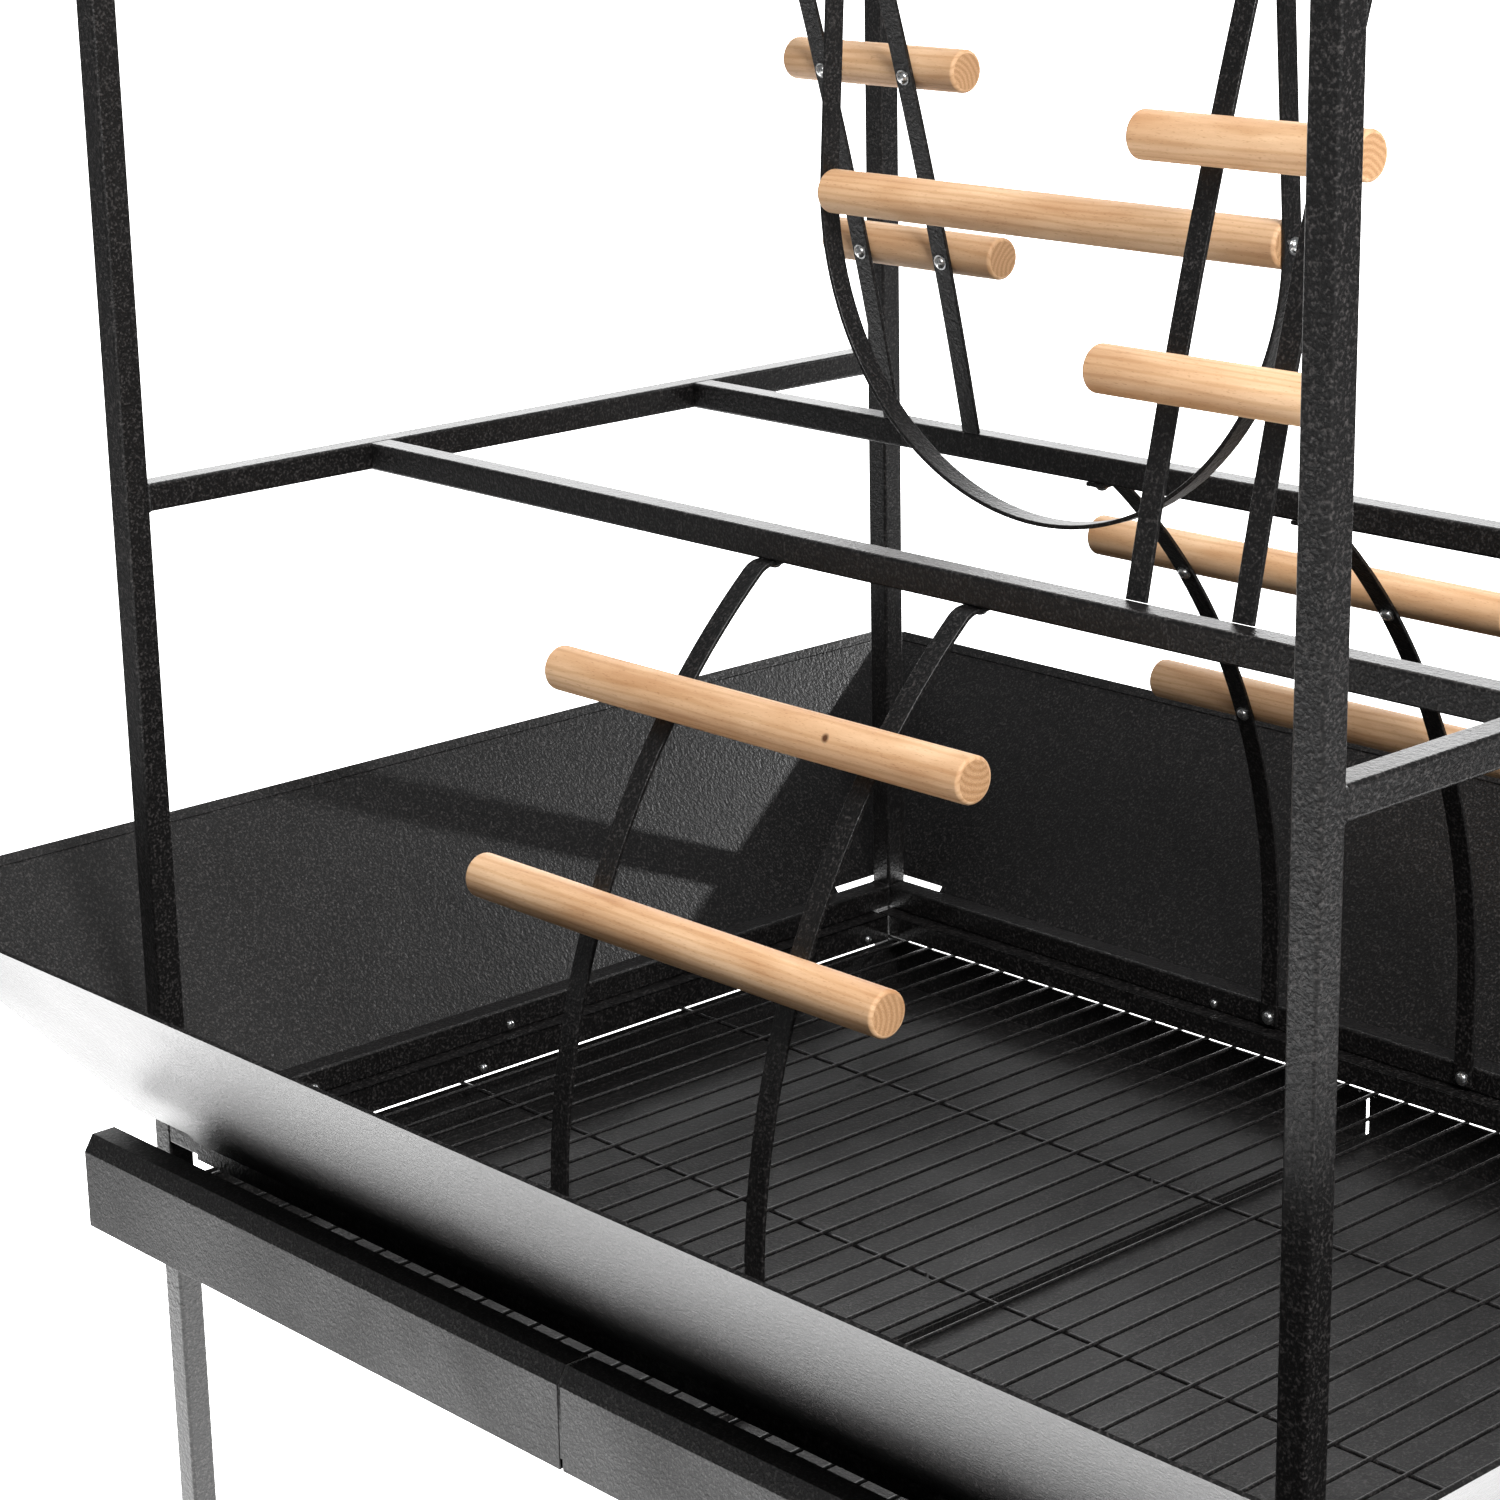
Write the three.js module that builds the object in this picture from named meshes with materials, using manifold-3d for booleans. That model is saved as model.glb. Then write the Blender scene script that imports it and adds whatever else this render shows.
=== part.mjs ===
// Play stand for a parrot: a steel frame on castors with a wire floor over two pull-out trays,
// sloping seed guards, four ladders of wooden rungs and a hanging hoop swing.
// Millimetres, +Z up. The origin is on the floor under the middle of the stand, +Y is the back.
import * as THREE from 'three';
import { mergeVertices } from 'three/addons/utils/BufferGeometryUtils.js';
import Module from 'manifold-3d';

const wasm = await Module();
wasm.setup();

// ---- driving dimensions ----
const gap = 0.3;                  // clearance left between touching pieces
const tube = 20;                  // square tube of the frame
const tubeWall = 1.5;
const halfWidth = 534;            // to the outer faces of the posts, along X
const halfDepth = 380;            // to the outer faces of the posts, along Y
const midTop = 1000;              // top of the middle frame
const topTop = midTop + 500;      // top of the uppermost frame
const longRailY = 158.8;          // centre lines of the two long middle rails
const baseTop = midTop - 467.5;   // top of the upper base frame
const standTop = midTop - 558;    // top of the lower base frame, which the trays slide on
const legBottom = 78;

const stripWidth = 16;            // flat bar of ladders and swing
const stripThick = 3;
const dowelRadius = 15;
const dowelRound = 2.5;
const lowerRungLength = 376;
const upperRungLength = 170;

const sheet = 1.2;                // guards and trays
const guardRimOut = 142.5;        // rim of a guard beyond the posts
const guardRimZ = midTop - 297;
const guardFoldZ = midTop - 475.8;
const guardFlange = 13.5;
const guardCornerRadius = 12;
const guardHem = 8;
const notchLength = 37;           // corner relief beside each post
const notchHeight = 12;

const gridZ = midTop - 511;       // centre of the long wires
const wireRadius = 1.5;
const wirePitch = 28;
const crossWireY = 115;

// ---- materials ----
function finish(color, roughness, metalness) {
  return new THREE.MeshStandardMaterial({ color, roughness, metalness });
}
const blackPowder = () => finish(0x1d1b1b, 0.45, 0.1);
const beech = () => finish(0xdcb48a, 0.55, 0);
const zinc = () => finish(0xb9bcbf, 0.3, 0.9);
const blackPlastic = () => finish(0x151515, 0.5, 0);
const greyRubber = () => finish(0x4a4b4d, 0.7, 0);

// ---- small geometry tools ----
function solidOf(geometry) {
  const bare = geometry.clone();
  bare.deleteAttribute('normal');
  bare.deleteAttribute('uv');
  const merged = mergeVertices(bare, 1e-4);
  const mesh = new wasm.Mesh({
    numProp: 3,
    vertProperties: new Float32Array(merged.attributes.position.array),
    triVerts: new Uint32Array(merged.index.array),
  });
  return new wasm.Manifold(mesh);
}

function geometryOf(solid) {
  const mesh = solid.getMesh();
  const geometry = new THREE.BufferGeometry();
  geometry.setAttribute('position', new THREE.BufferAttribute(mesh.vertProperties, 3));
  geometry.setIndex(new THREE.BufferAttribute(mesh.triVerts, 1));
  return geometry;
}

function union(geometries) {
  return geometryOf(geometries.map(solidOf).reduce((all, one) => all.add(one)));
}

function cut(geometry, tools) {
  return geometryOf(tools.map(solidOf).reduce((body, tool) => body.subtract(tool), solidOf(geometry)));
}

function box(low, high) {
  const size = high.map((value, axis) => value - low[axis]);
  const geometry = new THREE.BoxGeometry(...size);
  return geometry.translate(...low.map((value, axis) => value + size[axis] / 2));
}

// A rod along an axis ('x', 'y' or 'z') from its centre point.
function rod(radius, length, axis, centre, sides = 10) {
  const geometry = new THREE.CylinderGeometry(radius, radius, length, sides);
  if (axis === 'x') geometry.rotateZ(Math.PI / 2);
  if (axis === 'z') geometry.rotateX(Math.PI / 2);
  return geometry.translate(...centre);
}

// A shape drawn in the YZ plane and given a thickness along X, centred on x.
function sideProfile(shape, thickness, x) {
  const options = { depth: thickness, bevelEnabled: false, curveSegments: 9 };
  const geometry = new THREE.ExtrudeGeometry(shape, options);
  geometry.rotateX(Math.PI / 2);
  geometry.rotateZ(Math.PI / 2);
  return geometry.translate(x - thickness / 2, 0, 0);
}

// A shape drawn in the XZ plane and given a thickness along Y, centred on y.
function frontProfile(shape, thickness, y) {
  const options = { depth: thickness, bevelEnabled: false, curveSegments: 14 };
  const geometry = new THREE.ExtrudeGeometry(shape, options);
  geometry.rotateX(Math.PI / 2);
  return geometry.translate(0, y + thickness / 2, 0);
}

const object = new THREE.Group();

function place(name, geometry, material) {
  const mesh = new THREE.Mesh(geometry, material);
  mesh.name = name;
  object.add(mesh);
}

// Copies a geometry half a turn round the vertical centre line.
function halfTurn(geometry) {
  return geometry.clone().rotateZ(Math.PI);
}

// ---- square tube ----
function squareBar(width, length, axis, centre) {
  const size = { x: width, y: width, z: width, [axis]: length };
  return new THREE.BoxGeometry(size.x, size.y, size.z).translate(...centre);
}

const bore = tube - 2 * tubeWall;
function squareTube(length, axis, centre) {
  return cut(squareBar(tube, length, axis, centre), [squareBar(bore, length + 2, axis, centre)]);
}

const postX = halfWidth - tube / 2;
const postY = halfDepth - tube / 2;
const innerX = halfWidth - tube;
const innerY = halfDepth - tube;
const lap = 0.2;                  // overlap of pieces welded face to face
const ventRadius = 3;
const sideNames = [['left', -1], ['right', 1]];
const ends = [['front', -1], ['back', 1]];

// ---- welded end frames: a pair of uprights with two rails across ----
// The rails are vented into the uprights, so that no tube is sealed.
function endFrame(x, bottom, top, railTops, extras) {
  const length = top - bottom;
  const upright = (width, extra) => ends.map(([, sy]) => (
    squareBar(width, length + extra, 'z', [x, sy * postY, bottom + length / 2])
  ));
  const rail = (width, reach) => railTops.map((z) => (
    squareBar(width, 2 * reach, 'y', [x, 0, z - tube / 2])
  ));
  const vents = railTops.map((z) => rod(ventRadius, 2 * postY, 'y', [x, 0, z - tube / 2], 8));
  const outside = union([...upright(tube, 0), ...rail(tube, innerY)]);
  const frame = cut(outside, [...upright(bore, 2), ...rail(bore, innerY - gap)]);
  return cut(extras.length ? union([frame, ...extras]) : frame, vents);
}

// Hollow spigots in the tops of the legs, which the posts drop over.
const spigotReach = 40;
const spigotWall = 2;
function spigots(x) {
  const tight = bore / 2 + lap / 2;
  const loose = bore / 2 - gap;
  const open = bore / 2 - gap - spigotWall;
  return ends.map(([, sy]) => {
    const y = sy * postY;
    const lower = box([x - tight, y - tight, baseTop - spigotReach], [x + tight, y + tight, baseTop]);
    const upper = box([x - loose, y - loose, baseTop - 1], [x + loose, y + loose, baseTop + spigotReach]);
    const hollow = box(
      [x - open, y - open, baseTop - spigotReach - 1],
      [x + open, y + open, baseTop + spigotReach + 1],
    );
    return cut(union([lower, upper]), [hollow]);
  });
}

// An angle section: a flat leg and a web, running along Y between two ends.
function angleAlongY(xWeb, xFlat, zTop, zBottom, thick, end) {
  const inwards = Math.sign(xFlat - xWeb);
  const [flatLow, flatHigh] = [Math.min(xWeb, xFlat), Math.max(xWeb, xFlat)];
  const webFar = xWeb + inwards * thick;
  return union([
    box([flatLow, -end, zTop - thick], [flatHigh, end, zTop]),
    box([Math.min(xWeb, webFar), -end, zBottom], [Math.max(xWeb, webFar), end, zTop]),
  ]);
}

const angleThick = 2;
const runnerSize = 15;
const keeperReach = 15;
const keeperTop = baseTop - tube + lap;
const sideKeeperBottom = midTop - 509;
const backKeeperBottom = midTop - 505;
const keeperOuter = 4;            // flat of a keeper stops this far inside the beam's outer face
for (const [side, sx] of sideNames) {
  const x = sx * postX;
  place(`post_frame_${side}`, endFrame(x, baseTop + gap, topTop, [midTop, topTop], []), blackPowder());
  const runner = angleAlongY(
    sx * (innerX + lap),
    sx * (innerX - runnerSize),
    standTop,
    standTop - runnerSize,
    angleThick,
    innerY - angleThick,
  );
  const keeper = angleAlongY(
    sx * (innerX - keeperReach),
    sx * (halfWidth - keeperOuter),
    keeperTop,
    sideKeeperBottom,
    angleThick,
    innerY - keeperReach - 1,
  );
  const extras = [...spigots(x), runner, keeper];
  place(`leg_frame_${side}`, endFrame(x, legBottom, baseTop, [baseTop, standTop], extras), blackPowder());
}

// ---- post caps ----
const capThick = 2;
const capPlug = 3.8;              // stays above the rail's bore
const plugHalf = bore / 2 - gap;
const corners = sideNames.flatMap(([side, sx]) => ends.map(([end, sy]) => [`${end}_${side}`, sx, sy]));
for (const [corner, sx, sy] of corners) {
  const [x, y] = [sx * postX, sy * postY];
  const lid = squareBar(tube, capThick, 'z', [x, y, topTop + gap + capThick / 2]);
  const plug = squareBar(2 * plugHalf, capPlug, 'z', [x, y, topTop + gap + 1 - capPlug / 2]);
  place(`post_cap_${corner}`, union([lid, plug]), blackPlastic());
}

// ---- long rails and beams between the end frames ----
const longRailLength = 2 * (innerX - gap);
for (const [end, sy] of ends) {
  const along = (y, top) => squareTube(longRailLength, 'x', [0, sy * y, top - tube / 2]);
  place(`middle_long_rail_${end}`, along(longRailY, midTop), blackPowder());
  place(`stand_beam_${end}`, along(postY, standTop), blackPowder());
  const baseBeam = along(postY, baseTop);
  const keeperInner = innerY - keeperReach;
  const keeper = union([
    box([-innerX + 2, keeperInner, keeperTop - angleThick], [innerX - 2, halfDepth - keeperOuter, keeperTop]),
    box([-innerX + 2, keeperInner, backKeeperBottom], [innerX - 2, keeperInner + angleThick, keeperTop]),
  ]);
  place(`base_beam_${end}`, end === 'back' ? union([baseBeam, keeper]) : baseBeam, blackPowder());
}

const centreRunnerHalf = 15;
place('tray_centre_runner', box(
  [-centreRunnerHalf, -innerY + gap, standTop - tube],
  [centreRunnerHalf, innerY - gap, standTop],
), blackPowder());

// ---- bolts and the holes for them; a bolt lies along +Y with its head's seat at the origin ----
const boltRadius = 2.5;
const boltHole = 2.8;
const headRadius = 4.6;
const headHeight = 3;

function bolt(shank) {
  const profile = [
    [0, -headHeight],
    [headRadius * 0.6, -headHeight * 0.8],
    [headRadius, -headHeight * 0.25],
    [headRadius, 0],
    [boltRadius, 0],
    [boltRadius, shank],
    [0, shank],
  ].map(([radius, along]) => new THREE.Vector2(radius, along));
  return new THREE.LatheGeometry(profile, 12);
}

function drill(length) {
  return rod(boltHole, length, 'y', [0, 0, 0], 6);
}

// ---- seed guards ----
const guardRise = guardRimZ - guardFoldZ;
const guardOutward = guardRimOut - sheet - gap;
const guardSlope = Math.hypot(guardRise, guardOutward);
const guardTilt = Math.atan2(guardOutward, guardRise);
const guardSides = [
  { name: 'guard_front', half: halfWidth, out: halfDepth, turn: 0 },
  { name: 'guard_right', half: halfDepth, out: halfWidth, turn: Math.PI / 2 },
  { name: 'guard_back', half: halfWidth, out: halfDepth, turn: Math.PI },
  { name: 'guard_left', half: halfDepth, out: halfWidth, turn: -Math.PI / 2 },
];

// A guard is drawn flat, x along its length and y up its slope, then tilted outwards.
function guard(side) {
  const foot = side.half - tube - notchLength;
  const halfAt = (v) => side.half + (guardOutward * v) / guardSlope;
  const lower = halfAt(notchHeight);
  const upper = halfAt(guardSlope);
  const spread = Math.atan2(upper - lower, guardSlope - notchHeight);
  const tangent = guardCornerRadius / Math.tan((Math.PI / 2 - spread) / 2);
  const arcX = upper - tangent;
  const arcY = guardSlope - guardCornerRadius;
  const shape = new THREE.Shape();
  shape.moveTo(-foot, 0);
  shape.lineTo(foot, 0);
  shape.lineTo(foot, notchHeight);
  shape.lineTo(lower, notchHeight);
  shape.absarc(arcX, arcY, guardCornerRadius, -spread, Math.PI / 2);
  shape.absarc(-arcX, arcY, guardCornerRadius, Math.PI / 2, Math.PI + spread);
  shape.lineTo(-lower, notchHeight);
  shape.lineTo(-foot, notchHeight);
  shape.closePath();
  const face = new THREE.ExtrudeGeometry(shape, { depth: sheet, bevelEnabled: false, curveSegments: 6 });
  const hem = box([-arcX, guardSlope - guardHem, -sheet], [arcX, guardSlope, sheet / 2]);
  const tilted = union([face, hem]).rotateX(Math.PI / 2 + guardTilt);
  tilted.translate(0, -(side.out + gap), guardFoldZ);
  const flange = box(
    [-foot, -(side.out + gap + sheet), guardFoldZ - guardFlange],
    [foot, -(side.out + gap), guardFoldZ + sheet / 2],
  );
  return union([tilted, flange]).rotateZ(side.turn);
}

for (const side of guardSides) place(side.name, guard(side), blackPowder());

// ---- ladders: two curved strips with rungs bolted on their outer side ----
// Drawn for the back of the stand with Y outwards; the front ladders are the same turned half round.
const lowerArcRadius = 515;
const lowerFootY = innerY - gap - stripThick / 2;
const lowerLadder = {
  stripX: [-92.3, 92.3],
  radius: lowerArcRadius,
  centreY: lowerFootY - lowerArcRadius,
  centreZ: midTop - 417,
  footZ: baseTop - 16,
  tabTop: midTop - tube - gap,
  tabEndY: longRailY - tube / 2 + 2,
  tabBoltY: longRailY,
  rungAngles: [22.1, 37.8],
  rungLength: lowerRungLength,
};
const upperArcRadius = 3600;
const upperLean = THREE.MathUtils.degToRad(12);
const upperFootY = 150.5;
const upperCentreX = -253;
const upperStripApart = 81.4;
const upperLadder = {
  stripX: [upperCentreX - upperStripApart / 2, upperCentreX + upperStripApart / 2],
  radius: upperArcRadius,
  centreY: upperFootY - upperArcRadius * Math.cos(upperLean),
  centreZ: midTop - upperArcRadius * Math.sin(upperLean),
  footZ: midTop + gap,
  tabTop: topTop - tube - gap,
  tabEndY: -8,
  tabBoltY: 0,
  rungAngles: [14.1, 16.3, 18.5],
  rungLength: upperRungLength,
};

function stripShape(ladder) {
  const { radius, centreY, centreZ, footZ, tabTop, tabEndY } = ladder;
  const outer = radius + stripThick / 2;
  const inner = radius - stripThick / 2;
  const angleAt = (z, arc) => Math.asin(Math.max(0, z - centreZ) / arc);
  const tabBottom = tabTop - stripThick;
  const shape = new THREE.Shape();
  const straight = footZ < centreZ;
  if (straight) shape.moveTo(centreY + outer, footZ);
  shape.absarc(centreY, centreZ, outer, angleAt(footZ, outer), angleAt(tabTop, outer));
  shape.lineTo(tabEndY, tabTop);
  shape.lineTo(tabEndY, tabBottom);
  shape.absarc(centreY, centreZ, inner, angleAt(tabBottom, inner), angleAt(footZ, inner), true);
  if (straight) shape.lineTo(centreY + inner, footZ);
  shape.closePath();
  return shape;
}

// Moves a piece drawn along +Y from the strip's inner face to its place at an angle on the arc.
function ontoArc(geometry, ladder, degrees, x, radius) {
  const angle = THREE.MathUtils.degToRad(degrees);
  geometry.rotateX(angle);
  return geometry.translate(
    x,
    ladder.centreY + radius * Math.cos(angle),
    ladder.centreZ + radius * Math.sin(angle),
  );
}

function onEachRung(ladder, make, radius) {
  return ladder.rungAngles.flatMap((degrees) => (
    ladder.stripX.map((x) => ontoArc(make(), ladder, degrees, x, radius))
  ));
}

// Bolts up through the tabs; the lower ladders also have bolts out through their feet.
function onEachEnd(ladder, make) {
  const tabs = ladder.stripX.map((x) => make()
    .rotateX(Math.PI / 2)
    .translate(x, ladder.tabBoltY, ladder.tabTop - stripThick));
  const feet = ladder.stripX.map((x) => make().translate(x, lowerFootY, baseTop - tube / 2));
  return ladder === lowerLadder ? [...tabs, ...feet] : tabs;
}

function dowel(length) {
  const half = length / 2;
  const bend = dowelRound * (1 - Math.SQRT1_2);
  const profile = [
    [0, -half],
    [dowelRadius - dowelRound, -half],
    [dowelRadius - bend, -half + bend],
    [dowelRadius, -half + dowelRound],
    [dowelRadius, half - dowelRound],
    [dowelRadius - bend, half - bend],
    [dowelRadius - dowelRound, half],
    [0, half],
  ].map(([radius, along]) => new THREE.Vector2(radius, along));
  return new THREE.LatheGeometry(profile, 14).rotateZ(Math.PI / 2);
}

const rungHoleDepth = 44;
const endHoleLength = 14;
const rungRadius = (ladder) => ladder.radius + stripThick / 2 + gap + dowelRadius;

function ladderStrip(ladder, x) {
  const drills = [
    ...onEachRung(ladder, () => drill(rungHoleDepth), ladder.radius),
    ...onEachEnd(ladder, () => drill(endHoleLength)),
  ];
  return cut(sideProfile(stripShape(ladder), stripWidth, x), drills);
}

function ladderRung(ladder, degrees) {
  const middle = (ladder.stripX[0] + ladder.stripX[1]) / 2;
  const drills = onEachRung(ladder, () => drill(rungHoleDepth), ladder.radius);
  return cut(ontoArc(dowel(ladder.rungLength), ladder, degrees, middle, rungRadius(ladder)), drills);
}

for (const [level, ladder] of [['lower', lowerLadder], ['upper', upperLadder]]) {
  ladder.stripX.forEach((x, index) => {
    const strip = ladderStrip(ladder, x);
    place(`${level}_ladder_back_strip_${index + 1}`, strip, blackPowder());
    place(`${level}_ladder_front_strip_${index + 1}`, halfTurn(strip), blackPowder());
  });
  ladder.rungAngles.forEach((degrees, index) => {
    const rung = ladderRung(ladder, degrees);
    place(`${level}_ladder_back_rung_${index + 1}`, rung, beech());
    place(`${level}_ladder_front_rung_${index + 1}`, halfTurn(rung), beech());
  });
}

// ---- hoop swing ----
const hoopInner = 200.3;
const perchLength = 2 * (hoopInner - 1.1);   // clears the legs of the hoop, which lean inwards
const hoopCentreZ = midTop + 192.5;
const hoopLean = THREE.MathUtils.degToRad(3.4);
const pivotZ = topTop - tube - 18;
const strapEndZ = pivotZ + 8;

function hoopShape() {
  const outer = hoopInner + stripThick;
  const rise = strapEndZ - hoopCentreZ;
  const inwards = rise * Math.tan(hoopLean);
  const shape = new THREE.Shape();
  shape.moveTo(-outer + inwards, hoopCentreZ + rise);
  shape.absarc(0, hoopCentreZ, outer, Math.PI, 2 * Math.PI);
  shape.lineTo(outer - inwards, hoopCentreZ + rise);
  shape.lineTo(hoopInner - inwards, hoopCentreZ + rise);
  shape.absarc(0, hoopCentreZ, hoopInner, 2 * Math.PI, Math.PI, true);
  shape.lineTo(-hoopInner + inwards, hoopCentreZ + rise);
  shape.closePath();
  return shape;
}

const strapAtPivot = hoopInner + stripThick - (pivotZ - hoopCentreZ) * Math.tan(hoopLean);
const lugX = strapAtPivot + 1.5;
const lugThick = 3;
const lugHalf = 9;
const pivotRadius = 3;
const pivotBore = pivotRadius + 0.1;
const pivotInnerEnd = strapAtPivot - stripThick - 2;
const nutLength = 3;
const perchBore = (side) => rod(boltHole, 60, 'x', [side * hoopInner, 0, hoopCentreZ], 8);
const pivotHole = (side) => rod(pivotBore, 24, 'x', [side * lugX, 0, pivotZ], 16);
const perchBores = [perchBore(-1), perchBore(1)];
const pivotHoles = [pivotHole(-1), pivotHole(1)];

const strap = frontProfile(hoopShape(), stripWidth, 0);
place('swing_strap', cut(strap, [...perchBores, ...pivotHoles]), blackPowder());
place('swing_perch', cut(dowel(perchLength).translate(0, 0, hoopCentreZ), perchBores), beech());

function lug(side) {
  const [near, far] = [side * lugX, side * (lugX + lugThick)];
  return box(
    [Math.min(near, far), -lugHalf, pivotZ - lugHalf],
    [Math.max(near, far), lugHalf, topTop - tube + lap],
  );
}
const centreRail = squareTube(longRailLength, 'x', [0, 0, topTop - tube / 2]);
place('top_centre_rail', cut(union([centreRail, lug(-1), lug(1)]), pivotHoles), blackPowder());

for (const [name, side] of sideNames) {
  const screw = bolt(24).rotateZ(side * Math.PI / 2);
  screw.translate(side * (hoopInner + stripThick + gap), 0, hoopCentreZ);
  place(`swing_perch_screw_${name}`, screw, zinc());
  const outerEnd = lugX + lugThick + gap;
  const nut = (from) => rod(5, nutLength, 'x', [side * (from + nutLength / 2), 0, pivotZ], 6);
  const shankLength = outerEnd - pivotInnerEnd + 2;
  const pin = rod(pivotRadius, shankLength, 'x', [side * (outerEnd + pivotInnerEnd) / 2, 0, pivotZ], 16);
  place(`swing_pivot_${name}`, union([pin, nut(outerEnd), nut(pivotInnerEnd - nutLength)]), zinc());
}

// ---- pull-out trays with a wire grid on top ----
const trayOuterX = innerX - 3;
const trayInnerX = 1.5;
const trayBackY = 366;
const trayWallTop = midTop - 515.8;
const trayMeetingWall = 8;         // the low walls where the two trays lie side by side
const trayFloor = standTop + gap;
const fasciaEndX = halfWidth;
const lipInnerY = halfDepth + 35;
const lipOuterY = halfDepth + 52;
const fasciaY = halfDepth + 59;
const lipTop = midTop - 471.5;
const lipDrop = 11;
const fasciaBottom = midTop - 539;
const fasciaHem = 8;

// A sheet-metal section: a path with a thickness laid off to its right-hand side.
function ribbon(points, thickness) {
  const normals = points.slice(1).map(([x, y], index) => {
    const [dx, dy] = [x - points[index][0], y - points[index][1]];
    const length = Math.hypot(dx, dy);
    return [dy / length, -dx / length];
  });
  const offset = points.map(([x, y], index) => {
    const before = normals[Math.max(0, index - 1)];
    const after = normals[Math.min(normals.length - 1, index)];
    const scale = thickness / (1 + before[0] * after[0] + before[1] * after[1]);
    return [x + (before[0] + after[0]) * scale, y + (before[1] + after[1]) * scale];
  });
  const outline = [...points].reverse().concat(offset);
  return new THREE.Shape(outline.map(([x, y]) => new THREE.Vector2(x, y)));
}

function tray(side) {
  const span = (near, far) => [Math.min(side * near, side * far), Math.max(side * near, side * far)];
  const wallTops = span(trayFloor + trayMeetingWall, trayWallTop).map(Math.abs);
  const [xLow, xHigh] = span(trayInnerX, trayOuterX);
  const [fasciaLow, fasciaHigh] = span(trayInnerX, fasciaEndX);
  const front = ribbon([
    [-lipInnerY, trayFloor],
    [-lipInnerY, lipTop],
    [-lipOuterY, lipTop],
    [-fasciaY, lipTop - lipDrop],
    [-fasciaY, fasciaBottom],
    [-fasciaY + fasciaHem, fasciaBottom],
  ], sheet);
  return union([
    box([xLow, -lipInnerY, trayFloor], [xHigh, trayBackY, trayFloor + sheet]),
    box([xLow, -lipInnerY, trayFloor], [xLow + sheet, trayBackY, wallTops[0]]),
    box([xHigh - sheet, -lipInnerY, trayFloor], [xHigh, trayBackY, wallTops[1]]),
    box([xLow, trayBackY - sheet, trayFloor], [xHigh, trayBackY, trayWallTop]),
    sideProfile(front, fasciaHigh - fasciaLow, (fasciaLow + fasciaHigh) / 2),
  ]);
}

const gridFrontY = -lipInnerY + 6;
const gridBackY = trayBackY - 4;
const crossWireZ = gridZ - 2 * wireRadius + 0.6;
const wiresPerGrid = 18;
function grid(side) {
  const wires = [];
  for (let index = 0; index < wiresPerGrid; index += 1) {
    const x = side * wirePitch * (index + 0.5);
    wires.push(rod(wireRadius, gridBackY - gridFrontY, 'y', [x, (gridFrontY + gridBackY) / 2, gridZ], 4));
  }
  const reach = trayOuterX - trayInnerX - 1;
  const middle = (side * (trayOuterX + trayInnerX)) / 2;
  for (const y of [gridFrontY + 5, -crossWireY, crossWireY, gridBackY - 5]) {
    wires.push(rod(wireRadius, reach, 'x', [middle, y, crossWireZ], 4));
  }
  return union(wires);
}

for (const [name, side] of sideNames) {
  place(`tray_${name}`, tray(side), blackPowder());
  place(`grid_${name}`, grid(side), blackPowder());
}

// ---- castors ----
const wheelRadius = 30;
const wheelHalf = 10;
const trail = 22;
const axleRadius = 3;
const forkInner = wheelHalf + 2;
const forkThick = 2.5;
const forkTop = legBottom - 7;
const stemPlay = 0.1;
const forkPlate = 3;
const stemRadius = 5;
const stemLength = 40;
const collarThick = 4;

function socket(x, y) {
  const collar = squareBar(tube, collarThick - gap, 'z', [x, y, legBottom - (collarThick + gap) / 2]);
  const plug = box(
    [x - plugHalf, y - plugHalf, legBottom - 1],
    [x + plugHalf, y + plugHalf, legBottom + stemLength + 4],
  );
  const stemHole = rod(stemRadius + stemPlay, stemLength + 12, 'z', [x, y, legBottom + stemLength / 2], 20);
  return cut(union([collar, plug]), [stemHole]);
}

function fork(x, y) {
  const cheekShape = new THREE.Shape();
  cheekShape.moveTo(y - 12, forkTop);
  cheekShape.lineTo(y - 12, forkTop - 8);
  cheekShape.lineTo(y + trail - 8, wheelRadius - 5);
  cheekShape.absarc(y + trail, wheelRadius, 8, 1.3 * Math.PI, 2.1 * Math.PI);
  cheekShape.lineTo(y + 16, forkTop);
  cheekShape.closePath();
  const cheek = (side) => sideProfile(cheekShape, forkThick, x + side * (forkInner + forkThick / 2));
  const outer = forkInner + forkThick;
  return union([
    box([x - outer, y - 12, forkTop - forkPlate], [x + outer, y + 16, forkTop]),
    cheek(-1),
    cheek(1),
    rod(9, 4, 'z', [x, y, forkTop + 0.8], 12),
    rod(stemRadius, stemLength + 6, 'z', [x, y, forkTop + stemLength / 2 + 1], 12),
    rod(axleRadius, 2 * outer + 5, 'x', [x, y + trail, wheelRadius], 12),
    rod(5, 3, 'x', [x - outer - 1.4, y + trail, wheelRadius], 6),
    rod(5, 3, 'x', [x + outer + 1.4, y + trail, wheelRadius], 6),
  ]);
}

function wheel(x, y) {
  const profile = [
    [axleRadius + 0.1, -wheelHalf - 1],
    [9, -wheelHalf - 1],
    [9, -wheelHalf + 2],
    [22, -wheelHalf + 2],
    [22, -wheelHalf],
    [wheelRadius - 3, -wheelHalf],
    [wheelRadius, -wheelHalf + 4],
    [wheelRadius, wheelHalf - 4],
    [wheelRadius - 3, wheelHalf],
    [22, wheelHalf],
    [22, wheelHalf - 2],
    [9, wheelHalf - 2],
    [9, wheelHalf + 1],
    [axleRadius + 0.1, wheelHalf + 1],
    [axleRadius + 0.1, -wheelHalf - 1],
  ].map(([radius, along]) => new THREE.Vector2(radius, along));
  return new THREE.LatheGeometry(profile, 18).rotateZ(Math.PI / 2).translate(x, y + trail, wheelRadius);
}

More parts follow.
